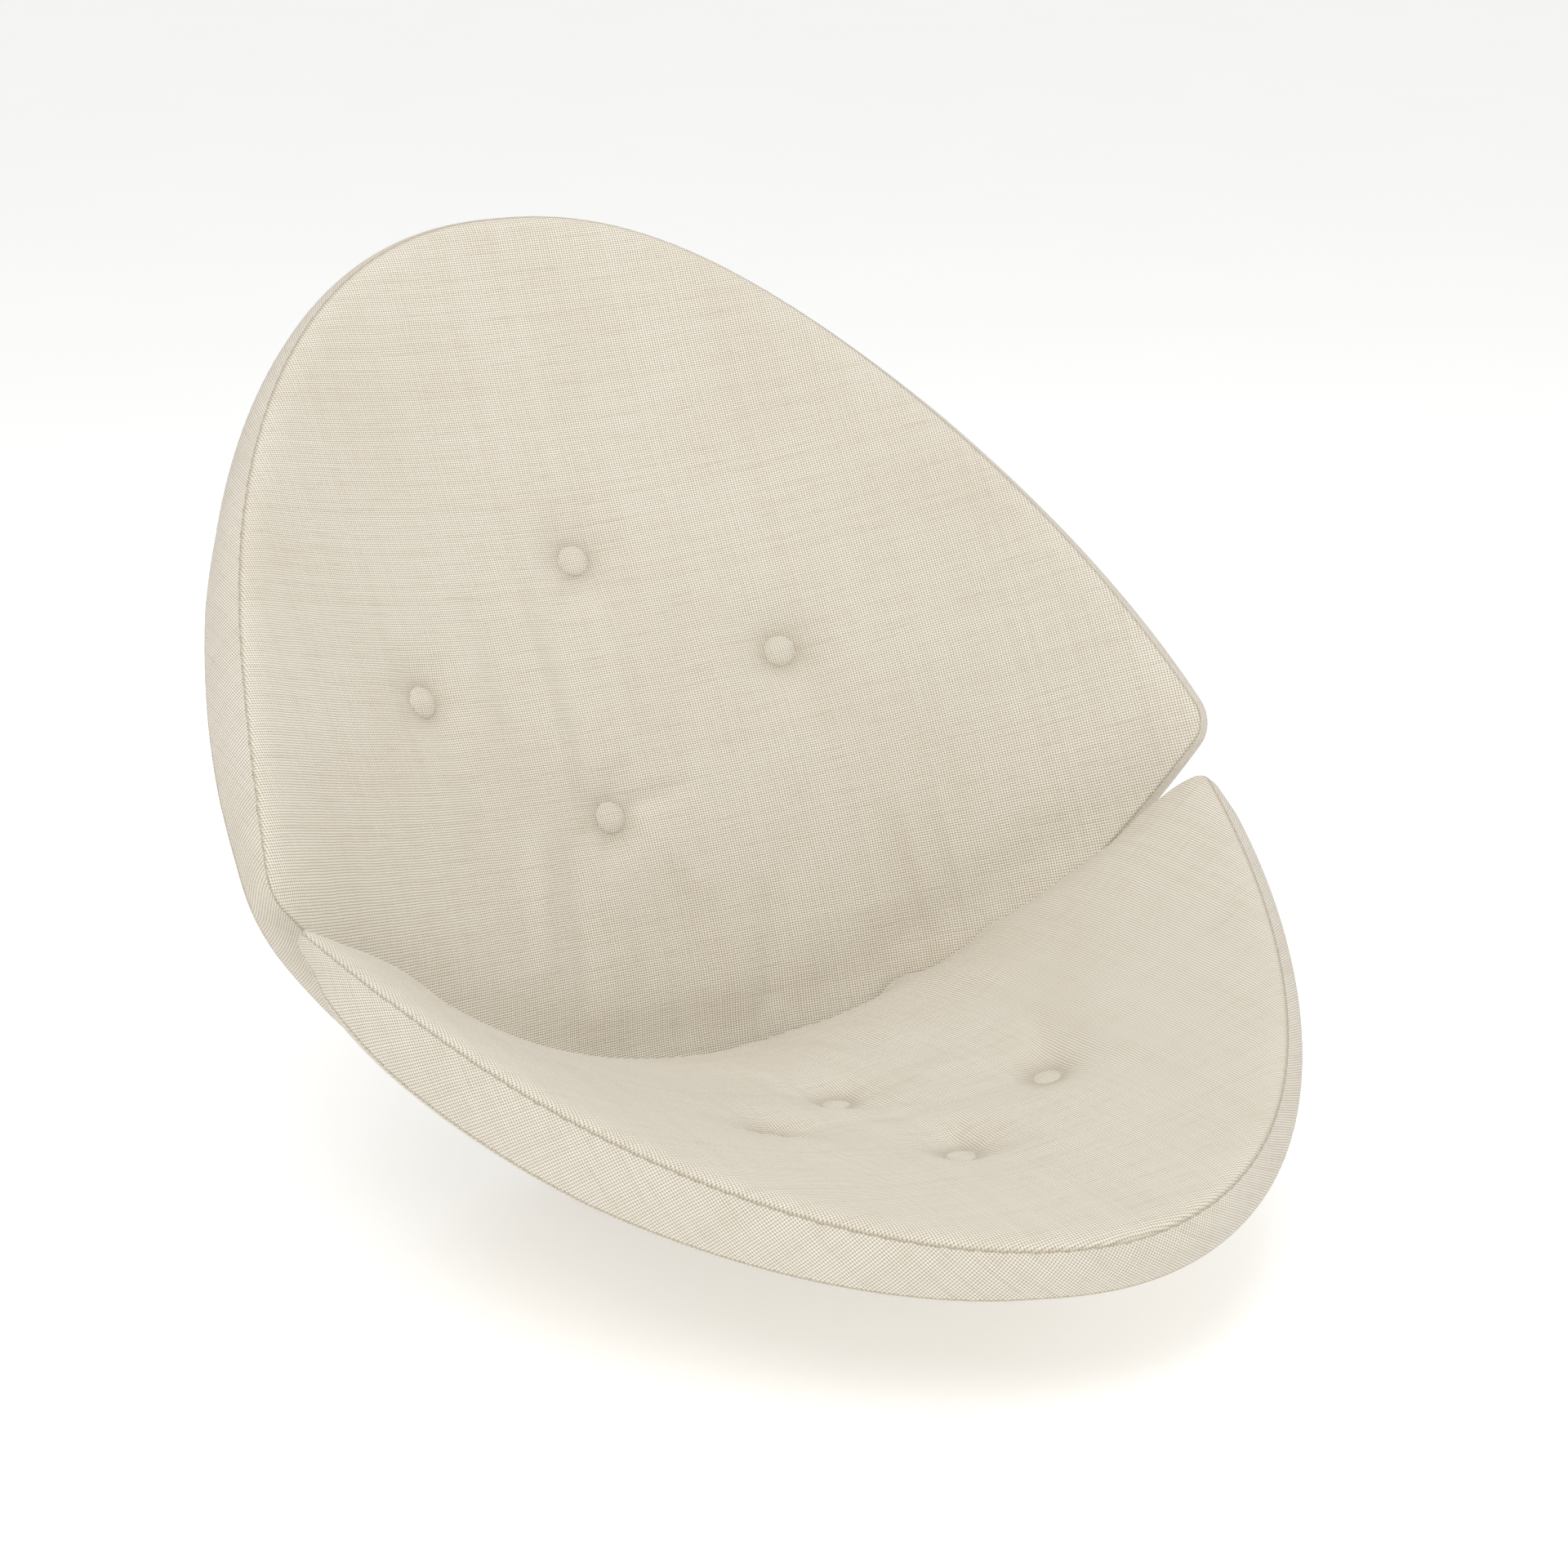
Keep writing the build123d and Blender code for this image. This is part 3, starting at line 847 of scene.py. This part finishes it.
    @staticmethod
    def _distance(u: Array, v: Array, line: Array) -> Array:
        """Shortest distance from each point (u, v) to a line of points."""
        best = np.full(u.size, 1e9)
        flat = np.stack([u.ravel(), v.ravel()], -1)
        for piece in np.array_split(line, 20):
            best = np.minimum(best, np.linalg.norm(flat[:, None] - piece[None], axis=-1).min(1))
        return best.reshape(u.shape)

    def _puff(self, spot: Array, u: Array, v: Array, edge: Array) -> Array:
        """Cloth simulation of the front panel, held at its seam and ties and blown out a little.

        An even copy of the panel starts crowned but not dimpled, with its tie places as pins. A
        shape key draws the pins down to the frame while pressure fills the cloth between them.

        Args:
            spot: Each vertex's place on the even square grid.
            u: Arc length across of each vertex; not used.
            v: Arc length along of each vertex; not used.
            edge: Distance of each vertex from the outline.

        Returns:
            How far each vertex moves, millimetres.
        """
        square, radius = self._square(self.sim_rings)
        outline = self.form.outlines(OUTLINE_POINTS)[0]
        even_u, even_v = self._spread(square, radius, radius, outline)
        even_edge = self._distance(even_u, even_v, outline[::3])
        tufted = self._tufted(even_u, even_v)
        smooth = self._swell(even_u, even_v, even_edge)
        start = self.form.place(even_u, even_v, -smooth * (0.35 + 0.65 * tufted))
        drawn = self.form.place(even_u, even_v, -smooth * tufted)
        count = 2 * self.sim_rings + 1
        ids = np.arange(count * count).reshape(count, count)
        quads = ordered_quads(ids, flip=self.form.side is Side.LEFT)
        panel = new_piece(f"{self.name}_blank", start.reshape(-1, 3), quads, [])
        far, _ = self._tuft_distance(even_u, even_v)
        held = (radius > 1 - 1.5 / self.sim_rings) | (far < self.button_radius)
        pins = panel.vertex_groups.new(name="pins")
        pins.add(np.flatnonzero(held.ravel()).tolist(), 1.0, "REPLACE")
        panel.shape_key_add(name="start")
        key = panel.shape_key_add(name="drawn")
        key.data.foreach_set("co", (drawn * MM).ravel())
        cloth = panel.modifiers.new("cloth", "CLOTH")
        for setting, amount in CLOTH_SETTINGS.items():
            setattr(cloth.settings, setting, amount)
        cloth.settings.uniform_pressure_force = self.pressure
        cloth.settings.effector_weights.gravity = 0.0
        cloth.point_cache.frame_end = SIM_FRAMES
        scene = bpy.context.scene
        for number in range(1, SIM_FRAMES + 1):
            key.value = min((number - 1) / DRAWING_FRAMES, 1.0)
            scene.frame_set(number)
        shaped = panel.evaluated_get(bpy.context.evaluated_depsgraph_get())
        final = np.empty(count * count * 3, np.float32)
        shaped.data.vertices.foreach_get("co", final)
        move = final.reshape(count, count, 3) / MM - drawn
        length = np.linalg.norm(move, axis=-1, keepdims=True)
        move = move * np.minimum(1, self.move_cap / np.maximum(length, 1e-9))
        LOG.info("%s moved by %.1f mm at most, with a cap of %.1f", self.name, length.max(), self.move_cap)
        bpy.data.objects.remove(panel)
        scene.frame_set(1)
        calm = np.clip(edge / 12, 0, 1)[..., None]
        return self._read(move, spot) * calm

    def _read(self, field: Array, spot: Array) -> Array:
        """Reads a square field between its points: bilinear in the two grid directions."""
        at = np.clip((spot + 1) * self.sim_rings, 0, 2 * self.sim_rings - 1e-6)
        low = at.astype(int)
        part = at - low
        i, j = low[..., 0], low[..., 1]
        s, t = part[..., :1], part[..., 1:]
        near = field[i, j] * (1 - s) + field[i + 1, j] * s
        away = field[i, j + 1] * (1 - s) + field[i + 1, j + 1] * s
        return near * (1 - t) + away * t

    def _tuft_distance(self, u: Array, v: Array) -> tuple[Array, Array]:
        """Distance and direction of each point from its nearest tuft."""
        places = np.array(list(self.tufts.values()))
        du = u[..., None] - places[:, 0]
        dv = v[..., None] - places[:, 1]
        nearest = np.hypot(du, dv).argmin(-1)[..., None]
        du = np.take_along_axis(du, nearest, -1)[..., 0]
        dv = np.take_along_axis(dv, nearest, -1)[..., 0]
        return np.hypot(du, dv), np.arctan2(dv, du) + 1.3 * nearest[..., 0]

    def _tufted(self, u: Array, v: Array) -> Array:
        """Share of the crown left by the tufts: 0 under a button, rising to 1 away from all."""
        share = np.ones_like(u)
        for place in self.tufts.values():
            far = np.maximum(np.hypot(u - place[0], v - place[1]) - self.button_radius, 0)
            share = share * (1 - np.exp(-((far / self.tuft_spread) ** 0.95)))
        return share

    def _swell(self, u: Array, v: Array, edge: Array) -> Array:
        """Crown without its dimples: a quarter-round shoulder, then a slow rise from the edge."""
        near = np.clip(edge / self.shoulder_width, 0, 1)
        shoulder = self.shoulder * np.sqrt(np.maximum(1 - (1 - near) ** 2, 0))
        return (shoulder + self.crown * (1 - np.exp(-edge / 50))) * self._pressed(u, v)

    def _front_height(self, u: Array, v: Array, edge: Array) -> Array:
        """Height over the frame's front face: the swell with its dimples, creases and folds."""
        tufted = self._tufted(u, v)
        far, angle = self._tuft_distance(u, v)
        pleat = 0.5 + 0.5 * np.cos(7 * angle + 1.7 * np.sin(2 * angle)) * np.cos(3 * angle + 0.6)
        reach = np.exp(-(((far - self.button_radius - 10) / 16) ** 2))
        height = self._swell(u, v, edge) * tufted - 2.2 * pleat * reach * np.minimum(tufted * 3, 1)
        calm = np.clip(edge / 30, 0, 1) * np.clip((far - self.button_radius) / 10, 0, 1)
        for fold in self.folds:
            height = height + fold.height_at(u, v) * calm
        height = np.maximum(height + self._puckers(u, v, edge), 0.05)
        return height - self.seam_depth * np.exp(-((edge / self.seam_width) ** 2)) - self._rolled(u, v)

    def _puckers(self, u: Array, v: Array, edge: Array) -> Array:
        """Little gathers along the seam, from sines of unlike length round the outline."""
        turn = np.arctan2(v - self.heart[1], u - self.heart[0])
        wave = np.sin(113 * turn) + np.sin(71 * turn + 1.1) + 0.7 * np.sin(187 * turn + 0.4)
        return 0.2 * wave * np.exp(-(((edge - 4) / 5) ** 2))

    def _pressed(self, u: Array, v: Array) -> Array:
        """Share of the crown left where the other pad presses on this one."""
        return np.ones_like(u)

    def _rolled(self, u: Array, v: Array) -> Array:
        """How far the face rolls down behind its frame at the rim."""
        return self._nose(u)

    def _nose(self, u: Array) -> Array:
        """How far each face closes in at the wing tips, a square law over the last stretch."""
        return self.nose_depth * np.clip((np.abs(u) - self.form.half_width + 50) / 50, 0, 1.4) ** 2

    def _rim_extra(self, u: Array, v: Array) -> Array:
        """How much deeper the rim is than the frame, millimetres."""
        low = 9 * np.clip((260 - v) / 200, 0, 1)
        return low - 12 * np.clip((v - 200) / 220, 0, 1) - 1.3 * self._nose(u)

    def _rear_height(self, u: Array, v: Array, edge: Array) -> Array:
        """Height behind the frame's rear face: a deep rim, flat at the ties and under the zip."""
        rim = self._rim_extra(u, v) * np.exp(-((edge / 42) ** 2))
        roll = self.bulge * np.sqrt(np.clip(edge / 12, 0, 1)) * np.exp(-(((edge - 12) / 30) ** 2))
        band = np.exp(-(((v - self.zip_v) / 20) ** 4)) * np.exp(-((u / 165) ** 8))
        seam = self.seam_depth * np.exp(-((edge / self.seam_width) ** 2))
        return (rim + roll) * (1 - band) + 0.9 * band - seam

    def _loop(self, ids: Array) -> Array:
        """Vertex numbers round the square grid's rim, anticlockwise from the middle right."""
        right, top = ids[-1, :], ids[:, -1]
        left, low = ids[0, :], ids[:, 0]
        middle = self.rings
        return np.concatenate([right[middle:-1], top[:0:-1], left[:0:-1], low[:-1], right[:middle]])

    def _boxing(self, rims: list[Array], top: Array, bottom: Array) -> tuple[Array, Array]:
        """Boxing strip between the two seams, bulging out from the outline.

        Its section is a half wave: out is the bulge times the sine of the share of the width.

        Args:
            rims: Outline points (u, v) of the front and the rear, in order.
            top: Depth of the front seam at each.
            bottom: Depth of the rear seam at each.

        Returns:
            Inner rows of places, and the cloth places of all its rows with the closing column.
        """
        ahead = np.roll(rims[0], -1, 0) - np.roll(rims[0], 1, 0)
        out = np.stack([ahead[:, 1], -ahead[:, 0]], -1) / np.linalg.norm(ahead, axis=1)[:, None]
        share = ((1 - np.cos(np.linspace(0, math.pi, self.boxing_rows + 2))) / 2)[:, None]
        depth = top + (bottom - top) * share
        swell = self.bulge * np.sin(np.pi * share) * self._free_rim(rims[0])
        flat = rims[0][None] * (1 - share[..., None]) + rims[1][None] * share[..., None]
        flat = flat + out[None] * swell[..., None]
        rows = self.form.place(flat[..., 0], flat[..., 1], depth)
        run = np.concatenate([[0], np.cumsum(np.linalg.norm(np.roll(rims[0], -1, 0) - rims[0], axis=1))])
        slant = math.radians(self.strip_slant)
        length = np.broadcast_to(run, (len(share), len(run)))
        wide = np.concatenate([depth, depth[:, :1]], axis=1) * self.strip_length
        cosine, sine = math.cos(slant), math.sin(slant)
        cloth = [length * cosine - wide * sine, length * sine + wide * cosine]
        return rows[1:-1], np.stack(cloth, -1)

    def _free_rim(self, rim: Array) -> Array:
        """Share of the boxing's swell at each outline point."""
        return 1 - 0.6 * np.clip((rim[:, 1] - 280) / 150, 0, 1)

    def _mark_crease_shade(
        self, piece: bpy.types.Object, u: Array, v: Array, edge: Array, rear_edge: Array, between: int
    ) -> None:
        """Stores how much each vertex lies in a seam or dimple: painted shade, which darkens the cloth's
        colour there.
        """
        far, _ = self._tuft_distance(u, v)
        # Painted shade masks: a thin line at each seam and a ring round each button.
        seam, rear = (np.exp(-((e / 1.0) ** 2)) for e in (edge, rear_edge))
        dimple = np.exp(-(np.maximum(far - self.button_radius, 0) / 6))
        front = np.maximum(seam, 0.5 * dimple).ravel()
        values = np.concatenate([front, np.zeros(between), rear.ravel()]).astype(np.float32)
        attribute = piece.data.attributes.new("crease_shade", "FLOAT", "POINT")
        attribute.data.foreach_set("value", values)


class BackPad(Pad):
    """The back pad, whose face gives way where the seat pad's rear edge presses on it."""

    def _pressed(self, u: Array, v: Array) -> Array:
        """Crown fades out towards the line where the seat pad's rear edge meets this face."""
        rear = SEAT_FORM.outlines(ROUGH_OUTLINE_POINTS)[0]
        rear = rear[rear[:, 1] < 0]
        points = SEAT_FORM.place(rear[:, 0], rear[:, 1])
        _, near_u, near_v = self.form.ahead(points, rear[:, 0], -np.abs(rear[:, 1]))
        far = self._distance(u, v, np.stack([near_u, near_v], -1))
        order = np.argsort(near_u)
        above = v > np.interp(u, near_u[order], near_v[order])
        share = 1 - np.exp(-((far / 30) ** 2))
        return np.where(above, share, 0.0)


class SeatPad(Pad):
    """The seat pad, whose rear edge rolls down against the back pad."""

    def _rear_line(self, u: Array) -> Array:
        """Where the rear edge lies at each u."""
        rear = self.form.outlines(ROUGH_OUTLINE_POINTS)[0]
        rear = rear[rear[:, 1] < 0]
        rear = rear[np.argsort(rear[:, 0])]
        return np.interp(u, rear[:, 0], rear[:, 1])

    def _rolled(self, u: Array, v: Array) -> Array:
        """Rear roll: deepest on the right, shallow on the left wing, with bumps along it."""
        behind = np.maximum(v - self._rear_line(u), 0)
        depth = 13 + 5 * np.clip(u / 150, -1, 1) - 14 * np.clip((-u - 170) / 130, 0, 1)
        depth = depth * np.clip((395 - np.abs(u)) / 60, 0, 1)
        for middle, tall in ((15, 6.0), (58, 6.5), (160, 8.0), (-60, 4.0), (235, 4.0)):
            depth = depth - tall * np.exp(-(((u - middle) / 14) ** 2))
        return depth * np.exp(-((behind / 34) ** 2)) + self._nose(u)

    def _swell(self, u: Array, v: Array, edge: Array) -> Array:
        """As on any pad, but thinner towards the rear edge between the wings."""
        behind = np.maximum(v - self._rear_line(u), 0)
        thin = 0.72 * np.exp(-((behind / 75) ** 2)) * np.clip((330 - np.abs(u)) / 120, 0, 1)
        return super()._swell(u, v, edge) * (1 - thin)

    def _rim_extra(self, u: Array, v: Array) -> Array:
        """A deeper rim at the left wing than at the front, and none along the rear edge."""
        left = 12 * np.clip((-u - 60) / 220, 0, 1)
        return (1 + left) * self._clear(v) - 1.3 * self._nose(u)

    def _rear_height(self, u: Array, v: Array, edge: Array) -> Array:
        """As on any pad, but flat along the rear edge."""
        return super()._rear_height(u, v, edge) * np.clip((v + 60) / 80, 0, 1)

    def _free_rim(self, rim: Array) -> Array:
        """No swell along the rear edge, where the back pad stops it."""
        return self._clear(rim[:, 1])

    @staticmethod
    def _clear(v: Array) -> Array:
        """Rises from 0 at the rear edge to 1 in front of the wing tips."""
        return np.clip((v + 5) / 40, 0, 1)


@dataclass(frozen=True)
class CoveredButton:
    """Dome of cover cloth over a metal shell, gathered under its rim."""

    pad: PadForm
    pad_name: str
    body: str
    place: str
    at: tuple[float, float]
    cloth: bpy.types.Material
    radius: float = BUTTON_RADIUS
    height: float = 6.0
    standoff: float = 0.7
    pleats: int = 22
    around: int = 88
    rows: int = 30
    wrap: float = 152.0

    def build(self) -> bpy.types.Object:
        """Works out the dome: a profile turned about the button's axis, rippled near its rim.

        The profile runs from the crown over a flattened dome to the rolled rim and under it.

        Returns:
            The button's cover.
        """
        share = np.linspace(0, 1, self.rows)[1:]
        bend = share * math.radians(self.wrap)
        out = self.radius * np.sin(np.minimum(bend, math.pi / 2)) ** 0.9
        under = np.maximum(bend - math.pi / 2, 0)
        out = out - self.radius * 0.30 * (1 - np.cos(under))
        up = self.height * 0.28 + self.height * 0.72 * np.cos(np.minimum(bend, math.pi / 2)) ** 0.85
        up = up - self.height * 0.26 * np.sin(under)
        turn = np.linspace(0, 2 * math.pi, self.around, endpoint=False)
        ripple = 1 + 0.012 * np.sin(self.pleats * turn)[None] * np.clip((bend[:, None] - 1.2) / 0.6, 0, 1)
        x = out[:, None] * np.cos(turn)[None] * ripple
        y = out[:, None] * np.sin(turn)[None] * ripple
        z = np.broadcast_to(up[:, None], x.shape)
        dome = np.stack([x, y, z], -1).reshape(-1, 3)
        local = np.concatenate([[[0, 0, self.height]], dome, [[0, 0, up[-1]]]])
        u, v = (np.array(c) for c in self.at)
        across, along, normal = self.pad.axes(u, v)
        centre = self.pad.place(u, v) + normal * self.standoff
        turned = np.cross(along, normal)
        points = centre + local[:, :1] * turned + local[:, 1:2] * along + local[:, 2:] * normal
        rows = 1 + np.arange(len(share) * self.around).reshape(len(share), self.around)
        quads = ordered_quads(rows, closed=True, flip=True)
        first = np.roll(rows[0], -1)
        pairs = self.around // 2
        cap = np.stack([np.zeros(pairs, int), rows[0][::2], first[::2], np.roll(rows[0], -2)[::2]], -1)
        last = rows[-1]
        end = np.full(pairs, len(points) - 1)
        base = np.stack([end, np.roll(last, -2)[::2], np.roll(last, -1)[::2], last[::2]], -1)
        faces = np.concatenate([cap, quads, base])
        flat = local[:, :2] * (1 + 0.25 * (np.hypot(local[:, 0], local[:, 1]) / self.radius)[:, None] ** 2)
        flat = flat + np.array(self.at)
        piece = new_piece(
            f"{self.pad_name}_button_{self.place}", points, faces, [self.cloth], flat[faces].reshape(-1, 2)
        )
        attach(piece, self.body)
        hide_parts(f"{self.pad_name}_button_cover_{self.place}")
        LOG.info("%s", piece.name)
        return piece


@dataclass(frozen=True)
class Finishes:
    """Every finish of the set, by the CAD pieces' own endings."""

    shell: Metal = Metal("button_shell_tin", srgb(186, 186, 184), srgb(150, 148, 144), 0.34)
    plate: Metal = Metal("button_plate_zinc", srgb(168, 170, 170), srgb(130, 128, 122), 0.4)
    anchor: Moulded = Moulded("anchor_nylon", srgb(214, 208, 196), srgb(200, 193, 180))
    twine: Twisted = Twisted("tying_twine", srgb(222, 214, 196), srgb(168, 156, 134))
    tape: TapeCloth = TapeCloth("zip_tape_twill", srgb(214, 206, 190), srgb(186, 176, 158))
    coil: Moulded = Moulded("zip_coil_nylon", srgb(208, 200, 184), srgb(188, 179, 162))
    metal: Metal = Metal("zip_metal_nickel", srgb(182, 180, 174), srgb(140, 136, 128), 0.28)

    def dress(self) -> None:
        """Gives each CAD piece that stays its own material."""
        kinds = {
            "button_shell": self.shell.make(),
            "button_plate": self.plate.make(),
            "anchor": self.anchor.make(),
            "twine": self.twine.make(),
            "zip_tape": self.tape.make(),
            "zip_chain": self.coil.make(),
            "zip_stops": self.metal.make(),
        }
        kinds["zip_slider"] = kinds["zip_pull"] = kinds["zip_stops"]
        for name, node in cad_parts.items():
            for kind, material in kinds.items():
                if kind in name:
                    node.data.materials.clear()
                    node.data.materials.append(material)


@dataclass(frozen=True)
class Studio:
    """Plain pale floor, soft light and the camera."""

    camera_at: tuple[float, float, float] = (-1208.6, -1851.6, 951.7)
    azimuth: float = -30.7
    elevation: float = 16.91
    roll: float = 0.58
    lens: float = 80.58

    def build(self) -> None:
        """Sets the floor, world, lamps and camera."""
        self._floor()
        self._world()
        self._lamp("key_softbox", (-1.6, -1.7, 2.9), (0.0, 0.1, 0.2), 1.8, 49.0)
        self._lamp("side_softbox", (2.6, -0.6, 1.6), (0.0, 0.1, 0.2), 2.0, 9.0)
        self._lamp("top_softbox", (0.0, -0.5, 3.0), (0.0, 0.1, 0.0), 2.0, 17.0)
        self._camera()

    def _floor(self) -> None:
        """Wide pale floor just under the lowest point."""
        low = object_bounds()[0][2] - 2 * MM
        size = 30.0
        points = np.array([[-size, -size, 0], [size, -size, 0], [size, size, 0], [-size, size, 0]]) / MM
        points[:, 2] = low / MM
        paint = Paint("studio_floor")
        place = paint.object_place()
        tone = paint.noise(place, 3.0, 3.0)
        paint.shade(
            Base_Color=paint.blend(tone, srgb(247, 247, 246), srgb(244, 244, 243)),
            Roughness=0.9,
            Specular_IOR_Level=0.1,
            Emission_Color=srgb(255, 255, 255),
            Emission_Strength=0.3,
        )
        floor = new_piece("floor", points, np.array([[0, 1, 2, 3]]), [paint.material])
        floor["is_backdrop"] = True

    def _world(self) -> None:
        """Even white surroundings."""
        world = bpy.data.worlds.new("studio")
        world.use_nodes = True
        background = world.node_tree.nodes["Background"]
        background.inputs[0].default_value = (1.0, 1.0, 1.0, 1.0)
        background.inputs[1].default_value = 0.66
        bpy.context.scene.world = world
        bpy.context.scene.view_settings.view_transform = "Standard"

    def _lamp(
        self, name: str, at: tuple[float, ...], towards: tuple[float, ...], size: float, power: float
    ) -> None:
        """Adds a square area lamp that faces a point."""
        lamp = bpy.data.lights.new(name, "AREA")
        lamp.shape = "SQUARE"
        lamp.size = size
        lamp.energy = power
        holder = bpy.data.objects.new(name, lamp)
        holder.location = at
        holder.rotation_euler = (Vector(towards) - Vector(at)).to_track_quat("-Z", "Y").to_euler()
        bpy.context.scene.collection.objects.link(holder)

    def _camera(self) -> None:
        """Camera from its azimuth, elevation and roll."""
        turn, lift, roll = (math.radians(a) for a in (self.azimuth, self.elevation, self.roll))
        back = Vector((math.sin(turn) * math.cos(lift), -math.cos(turn) * math.cos(lift), math.sin(lift)))
        right = Vector((math.cos(turn), math.sin(turn), 0.0))
        up = back.cross(right)
        image_right = right * math.cos(roll) - up * math.sin(roll)
        image_up = right * math.sin(roll) + up * math.cos(roll)
        camera = bpy.data.cameras.new("camera")
        camera.lens = self.lens
        camera.sensor_width = 36.0
        holder = bpy.data.objects.new("camera", camera)
        axes = Matrix((image_right, image_up, back)).transposed().to_4x4()
        holder.matrix_world = Matrix.Translation(Vector(self.camera_at) * MM) @ axes
        bpy.context.scene.collection.objects.link(holder)
        bpy.context.scene.camera = holder


BACK_TUFTS = {"top": (-7.0, 225.0), "left": (-182.0, 125.0), "right": (138.0, 124.0), "lower": (-34.0, 23.0)}
SEAT_TUFTS = {"front": (-9.0, 209.0), "left": (-110.0, 130.0), "right": (111.0, 140.0), "rear": (-20.0, 68.0)}
BACK_FOLDS = [
    Fold((-75.0, 235.0), (-60.0, 45.0), 11.0, 3.2),
    Fold((-110.0, 215.0), (-100.0, 55.0), 13.0, -2.8),
    Fold((-40.0, 200.0), (-45.0, 60.0), 9.0, -2.2),
    Fold((10.0, 200.0), (-10.0, 60.0), 12.0, 1.8),
    Fold((65.0, 195.0), (50.0, 50.0), 10.0, -2.6),
    Fold((92.0, 200.0), (85.0, 60.0), 9.0, 3.0),
    Fold((115.0, 215.0), (110.0, 145.0), 9.0, -2.4),
    Fold((135.0, 110.0), (122.0, 9.0), 9.0, 2.8),
    Fold((160.0, 105.0), (150.0, -20.0), 12.0, -1.8),
    Fold((-165.0, 105.0), (-160.0, 10.0), 12.0, -2.0),
    Fold((-10.0, 22.0), (35.0, -55.0), 10.0, 3.4),
    Fold((28.0, -25.0), (52.0, -165.0), 10.0, 3.2),
    Fold((-5.0, -20.0), (10.0, -150.0), 13.0, -2.6),
    Fold((-25.0, 28.0), (45.0, 38.0), 7.0, -3.2),
    Fold((-105.0, 30.0), (-132.0, -90.0), 12.0, 2.8),
    Fold((-80.0, 10.0), (-92.0, -120.0), 10.0, -2.8),
    Fold((-55.0, 10.0), (-48.0, -110.0), 9.0, 2.6),
    Fold((78.0, -50.0), (66.0, -170.0), 10.0, -3.0),
    Fold((105.0, -40.0), (100.0, -165.0), 11.0, 2.4),
    Fold((183.0, 0.0), (188.0, -130.0), 9.0, -3.0),
    Fold((200.0, 5.0), (206.0, -130.0), 8.0, 4.0),
    Fold((216.0, 0.0), (219.0, -125.0), 6.0, -3.0),
    Fold((229.0, -5.0), (233.0, -120.0), 8.0, 3.0),
    Fold((270.0, 10.0), (275.0, -110.0), 14.0, 1.6),
]
SEAT_FOLDS = [
    Fold((-125.0, 130.0), (125.0, 140.0), 13.0, -2.5),
    Fold((-20.0, 60.0), (-9.0, 215.0), 12.0, -2.0),
    Fold((105.0, 150.0), (160.0, 60.0), 8.0, -3.0),
    Fold((75.0, 150.0), (110.0, 95.0), 8.0, 2.4),
    Fold((-45.0, 75.0), (30.0, 130.0), 9.0, -2.6),
    Fold((-30.0, 215.0), (20.0, 165.0), 8.0, -2.8),
    Fold((40.0, 70.0), (95.0, 100.0), 9.0, 2.6),
    Fold((12.0, -70.0), (30.0, 40.0), 9.0, 2.6),
    Fold((38.0, -70.0), (55.0, 30.0), 8.0, -2.4),
    Fold((60.0, -75.0), (80.0, 30.0), 9.0, 2.8),
    Fold((160.0, -75.0), (185.0, 20.0), 12.0, 3.4),
    Fold((125.0, -70.0), (140.0, 20.0), 11.0, -2.4),
    Fold((-60.0, -60.0), (-40.0, 50.0), 11.0, 2.2),
    Fold((-150.0, 60.0), (-90.0, 220.0), 12.0, 2.4),
    Fold((-60.0, 240.0), (60.0, 250.0), 12.0, 2.0),
    Fold((150.0, 110.0), (170.0, 210.0), 12.0, 2.2),
]


def main() -> None:
    """Builds the pads, their buttons, the dressed CAD pieces and the studio."""
    logging.basicConfig(level=logging.INFO, format="%(name)s %(message)s")
    thread, gap, slub = srgb(234, 228, 215), srgb(158, 144, 120), srgb(212, 200, 180)
    cloth = WovenCloth("cover_weave", thread, gap, slub).make()
    # The boxing strip's cloth is the cover weave made a little darker: painted shade on the rim walls.
    strip = WovenCloth("boxing_weave_shaded", srgb(231, 225, 213), srgb(156, 143, 120), srgb(209, 198, 179)).make()
    pads = [
        BackPad(
            "back",
            "back_pad",
            BACK_FORM,
            BACK_TUFTS,
            BACK_FOLDS,
            zip_v=-70.0,
            crown=3.5,
            shoulder=6.5,
            shoulder_width=18.0,
            tuft_spread=20.0,
            bulge=3.5,
            cloth=cloth,
            strip=strip,
        ),
        SeatPad(
            "seat",
            "seat_pad",
            SEAT_FORM,
            SEAT_TUFTS,
            SEAT_FOLDS,
            zip_v=20.0,
            crown=10.5,
            shoulder=6.5,
            shoulder_width=17.0,
            tuft_spread=15.0,
            bulge=3.5,
            cloth=cloth,
            strip=strip,
            heart=(0.0, 130.0),
        ),
    ]
    for pad in pads:
        pad.build()
        for place, at in pad.tufts.items():
            CoveredButton(pad.form, pad.name, pad.body, place, at, cloth).build()
    Finishes().dress()
    Studio().build()


if __name__ == "__main__":
    main()
